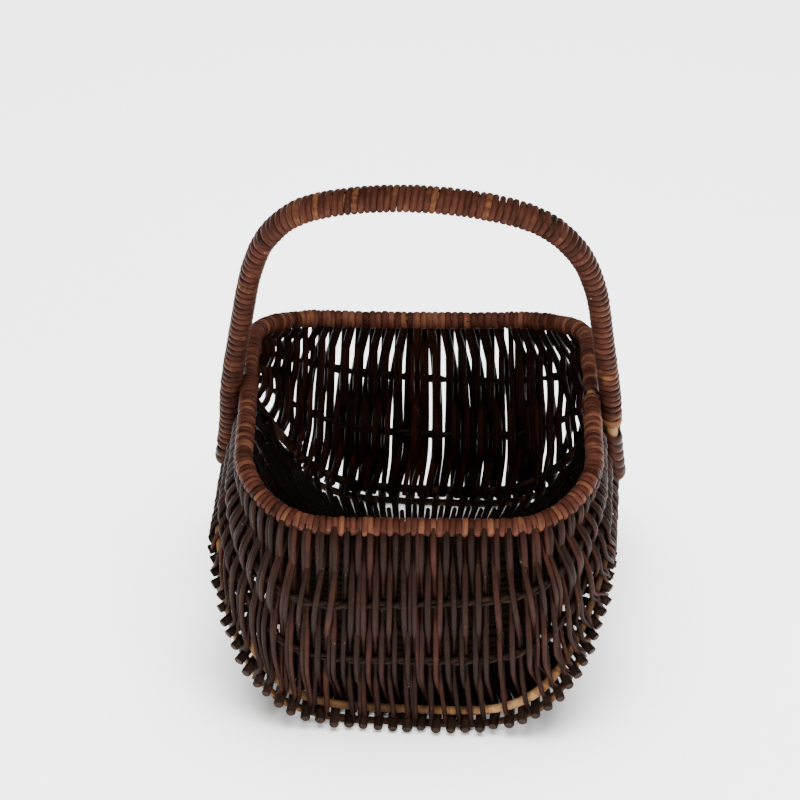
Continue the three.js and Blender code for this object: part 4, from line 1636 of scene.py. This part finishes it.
    def build_winding(self) -> None:
        """Lay the winding in unbroken rods, one after another along the bow."""
        bark = HANDLE_BARK.material()
        start = self.length_at(-1, self.left_below)
        end = self.length_at(1, self.right_below)
        per_rod = round((end - start) / self.pitch) // self.rods
        steps = self.winding_steps
        pitch = (end - start) / (per_rod * self.rods)
        turn = np.arange(per_rod * steps + steps // 4) / steps
        marks = np.arange(per_rod + 1)
        around = spun(CIRCLE * turn)
        round_sum = (np.abs(around) ** self.squareness).sum(1, keepdims=True)
        around = around * round_sum ** (-1 / self.squareness)
        for number in range(self.rods):
            length = start + (number * per_rod + turn) * pitch
            length = length + np.interp(turn, marks, self.draw.normal(*self.pitch_spread, len(marks)))
            swell = np.interp(turn, marks, self.draw.normal(*self.strand_spread, len(marks)))
            above = self.at(length)[0][:, 2:] - self.form.rim_height
            grip = self.grip_extra * ease((above - self.grip_start) / self.grip_fade)
            run = Run(*self.wound(length, around, grip), pitch * 0.5 * swell, self.strand_deep * swell)
            tones = np.clip(self.draw.normal(*self.tone_spread, len(marks)), *self.tone_ends)
            tones[self.draw.uniform(size=len(marks)) < self.amber_share] = self.amber_tone
            finish = (f"handle_wrap_{number + 1}", Slot.HANDLE, bark, f"handle_winding_{number + 1}")
            Bundle.single(RodPattern(8, (per_rod, steps)), run, np.interp(turn, marks, tones), *finish)

    def build_lashings(self) -> None:
        """Lay the separate turns low on the legs."""
        around = spun(CIRCLE * round_shares(self.lashing_steps))
        pattern = RingPattern(self.lashing_steps, 8)
        bundle = Bundle()
        for lashing in self.lashings:
            slope = (self.core_deep + self.strand_deep) * lashing.slant * lashing.side
            length = self.length_at(lashing.side, lashing.below) + slope * around[:, 0]
            run = Run(*self.wound(length, around), lashing.half_width, self.strand_deep, closed=True)
            bundle.lay(pattern, run, lashing.tint)
        bark = HANDLE_BARK.material()
        bundle.finish("leg_lashing", Slot.HANDLE, bark, "handle_winding_1", "handle_winding_5")

    def build(self) -> None:
        """Lay the core, the winding and the separate turns low on the legs."""
        self.build_core()
        self.build_winding()
        self.build_lashings()


# Studio


@dataclass(frozen=True)
class Softbox:
    """One square lamp that faces the basket."""

    name: str
    place: tuple[float, float, float]
    size: float
    power: float

    def build(self, target: Vector) -> bpy.types.Object:
        """Add the lamp and turn it to a point.

        Args:
            target: the point that it faces.
        Returns:
            The lamp.
        """
        data = bpy.data.lights.new(self.name, "AREA")
        data.shape = "SQUARE"
        data.size = self.size
        data.energy = self.power
        lamp = bpy.data.objects.new(self.name, data)
        bpy.context.scene.collection.objects.link(lamp)
        lamp.location = self.place
        lamp.rotation_euler = (target - lamp.location).to_track_quat("-Z", "Y").to_euler()
        return lamp


@dataclass(frozen=True)
class Studio:
    """Pale floor, soft light and the camera at the photograph's angle; angles are in degrees."""

    form: BasketForm
    floor_size: float = 12.0
    world_strength: float = 0.14
    lamps: tuple = (
        Softbox("left_softbox", (-1.5, -2.2, 0.95), 1.1, 33.0),
        Softbox("right_softbox", (1.8, -2.0, 1.1), 1.2, 60.0),
        Softbox("top_softbox", (0.15, -0.5, 2.5), 1.6, 80.0),
    )
    floor_lamp: Softbox = Softbox("floor_softbox", (0.0, 0.3, 3.2), 3.0, 470.0)
    lamp_aim: tuple = (0.0, 0.0, 0.2)
    elevation: float = 35.0
    turn: float = -3.626
    roll: float = 0.163
    lens: float = 166.32
    sensor: float = 36.0
    clip_end: float = 50.0
    distance: float = 3.2630
    across: float = -0.01748
    above: float = 0.01718

    def build(self) -> None:
        """Set up the floor, the lamps, the world and the camera."""
        bpy.ops.object.select_all(action="DESELECT")
        bpy.ops.mesh.primitive_plane_add(size=self.floor_size)
        floor = bpy.context.object
        floor.name = "pale_floor"
        floor.data.materials.append(PaleFloor().material())
        world = bpy.data.worlds.new("soft_day")
        world.use_nodes = True
        background = world.node_tree.nodes["Background"]
        background.inputs["Color"].default_value = (1.0, 1.0, 1.0, 1.0)
        background.inputs["Strength"].default_value = self.world_strength
        bpy.context.scene.world = world
        target = Vector(self.lamp_aim)
        for lamp in self.lamps:
            lamp.build(target)
        lit = bpy.data.collections.new("floor_only")
        lit.objects.link(floor)
        self.floor_lamp.build(target).light_linking.receiver_collection = lit
        self.build_camera()

    def build_camera(self) -> None:
        """Add the camera from the fit of the rim, the hoops and the bow in the photograph."""
        data = bpy.data.cameras.new("front_camera")
        data.lens = self.lens
        data.sensor_width = self.sensor
        data.clip_end = self.clip_end
        camera = bpy.data.objects.new("front_camera", data)
        bpy.context.scene.collection.objects.link(camera)
        lift = math.radians(self.elevation)
        spin = Matrix.Rotation(-math.radians(self.turn), 3, "Z")
        right = spin @ Vector((1.0, 0.0, 0.0))
        up = spin @ Vector((0.0, math.sin(lift), math.cos(lift)))
        back = spin @ Vector((0.0, -math.cos(lift), math.sin(lift)))
        aim = Vector((0.0, self.form.rim_shift, self.form.rim_height))
        camera.location = aim + right * self.across + up * self.above + back * self.distance
        axes = Matrix((right, up, back)).transposed()
        rolled = axes @ Matrix.Rotation(math.radians(self.roll), 3, "Z")
        camera.rotation_euler = rolled.to_euler()
        bpy.context.scene.camera = camera


def main() -> None:
    """Build every sub-assembly round the frame, then the studio."""
    logging.basicConfig(level=logging.INFO, format="%(name)s %(message)s")
    form = BasketForm.from_frame()
    for assembly in (RimCore, WovenWalls, Ribs, BaseHoops, BaseRods, BowHandle, Studio):
        assembly(form).build()


if __name__ == "__main__":
    main()
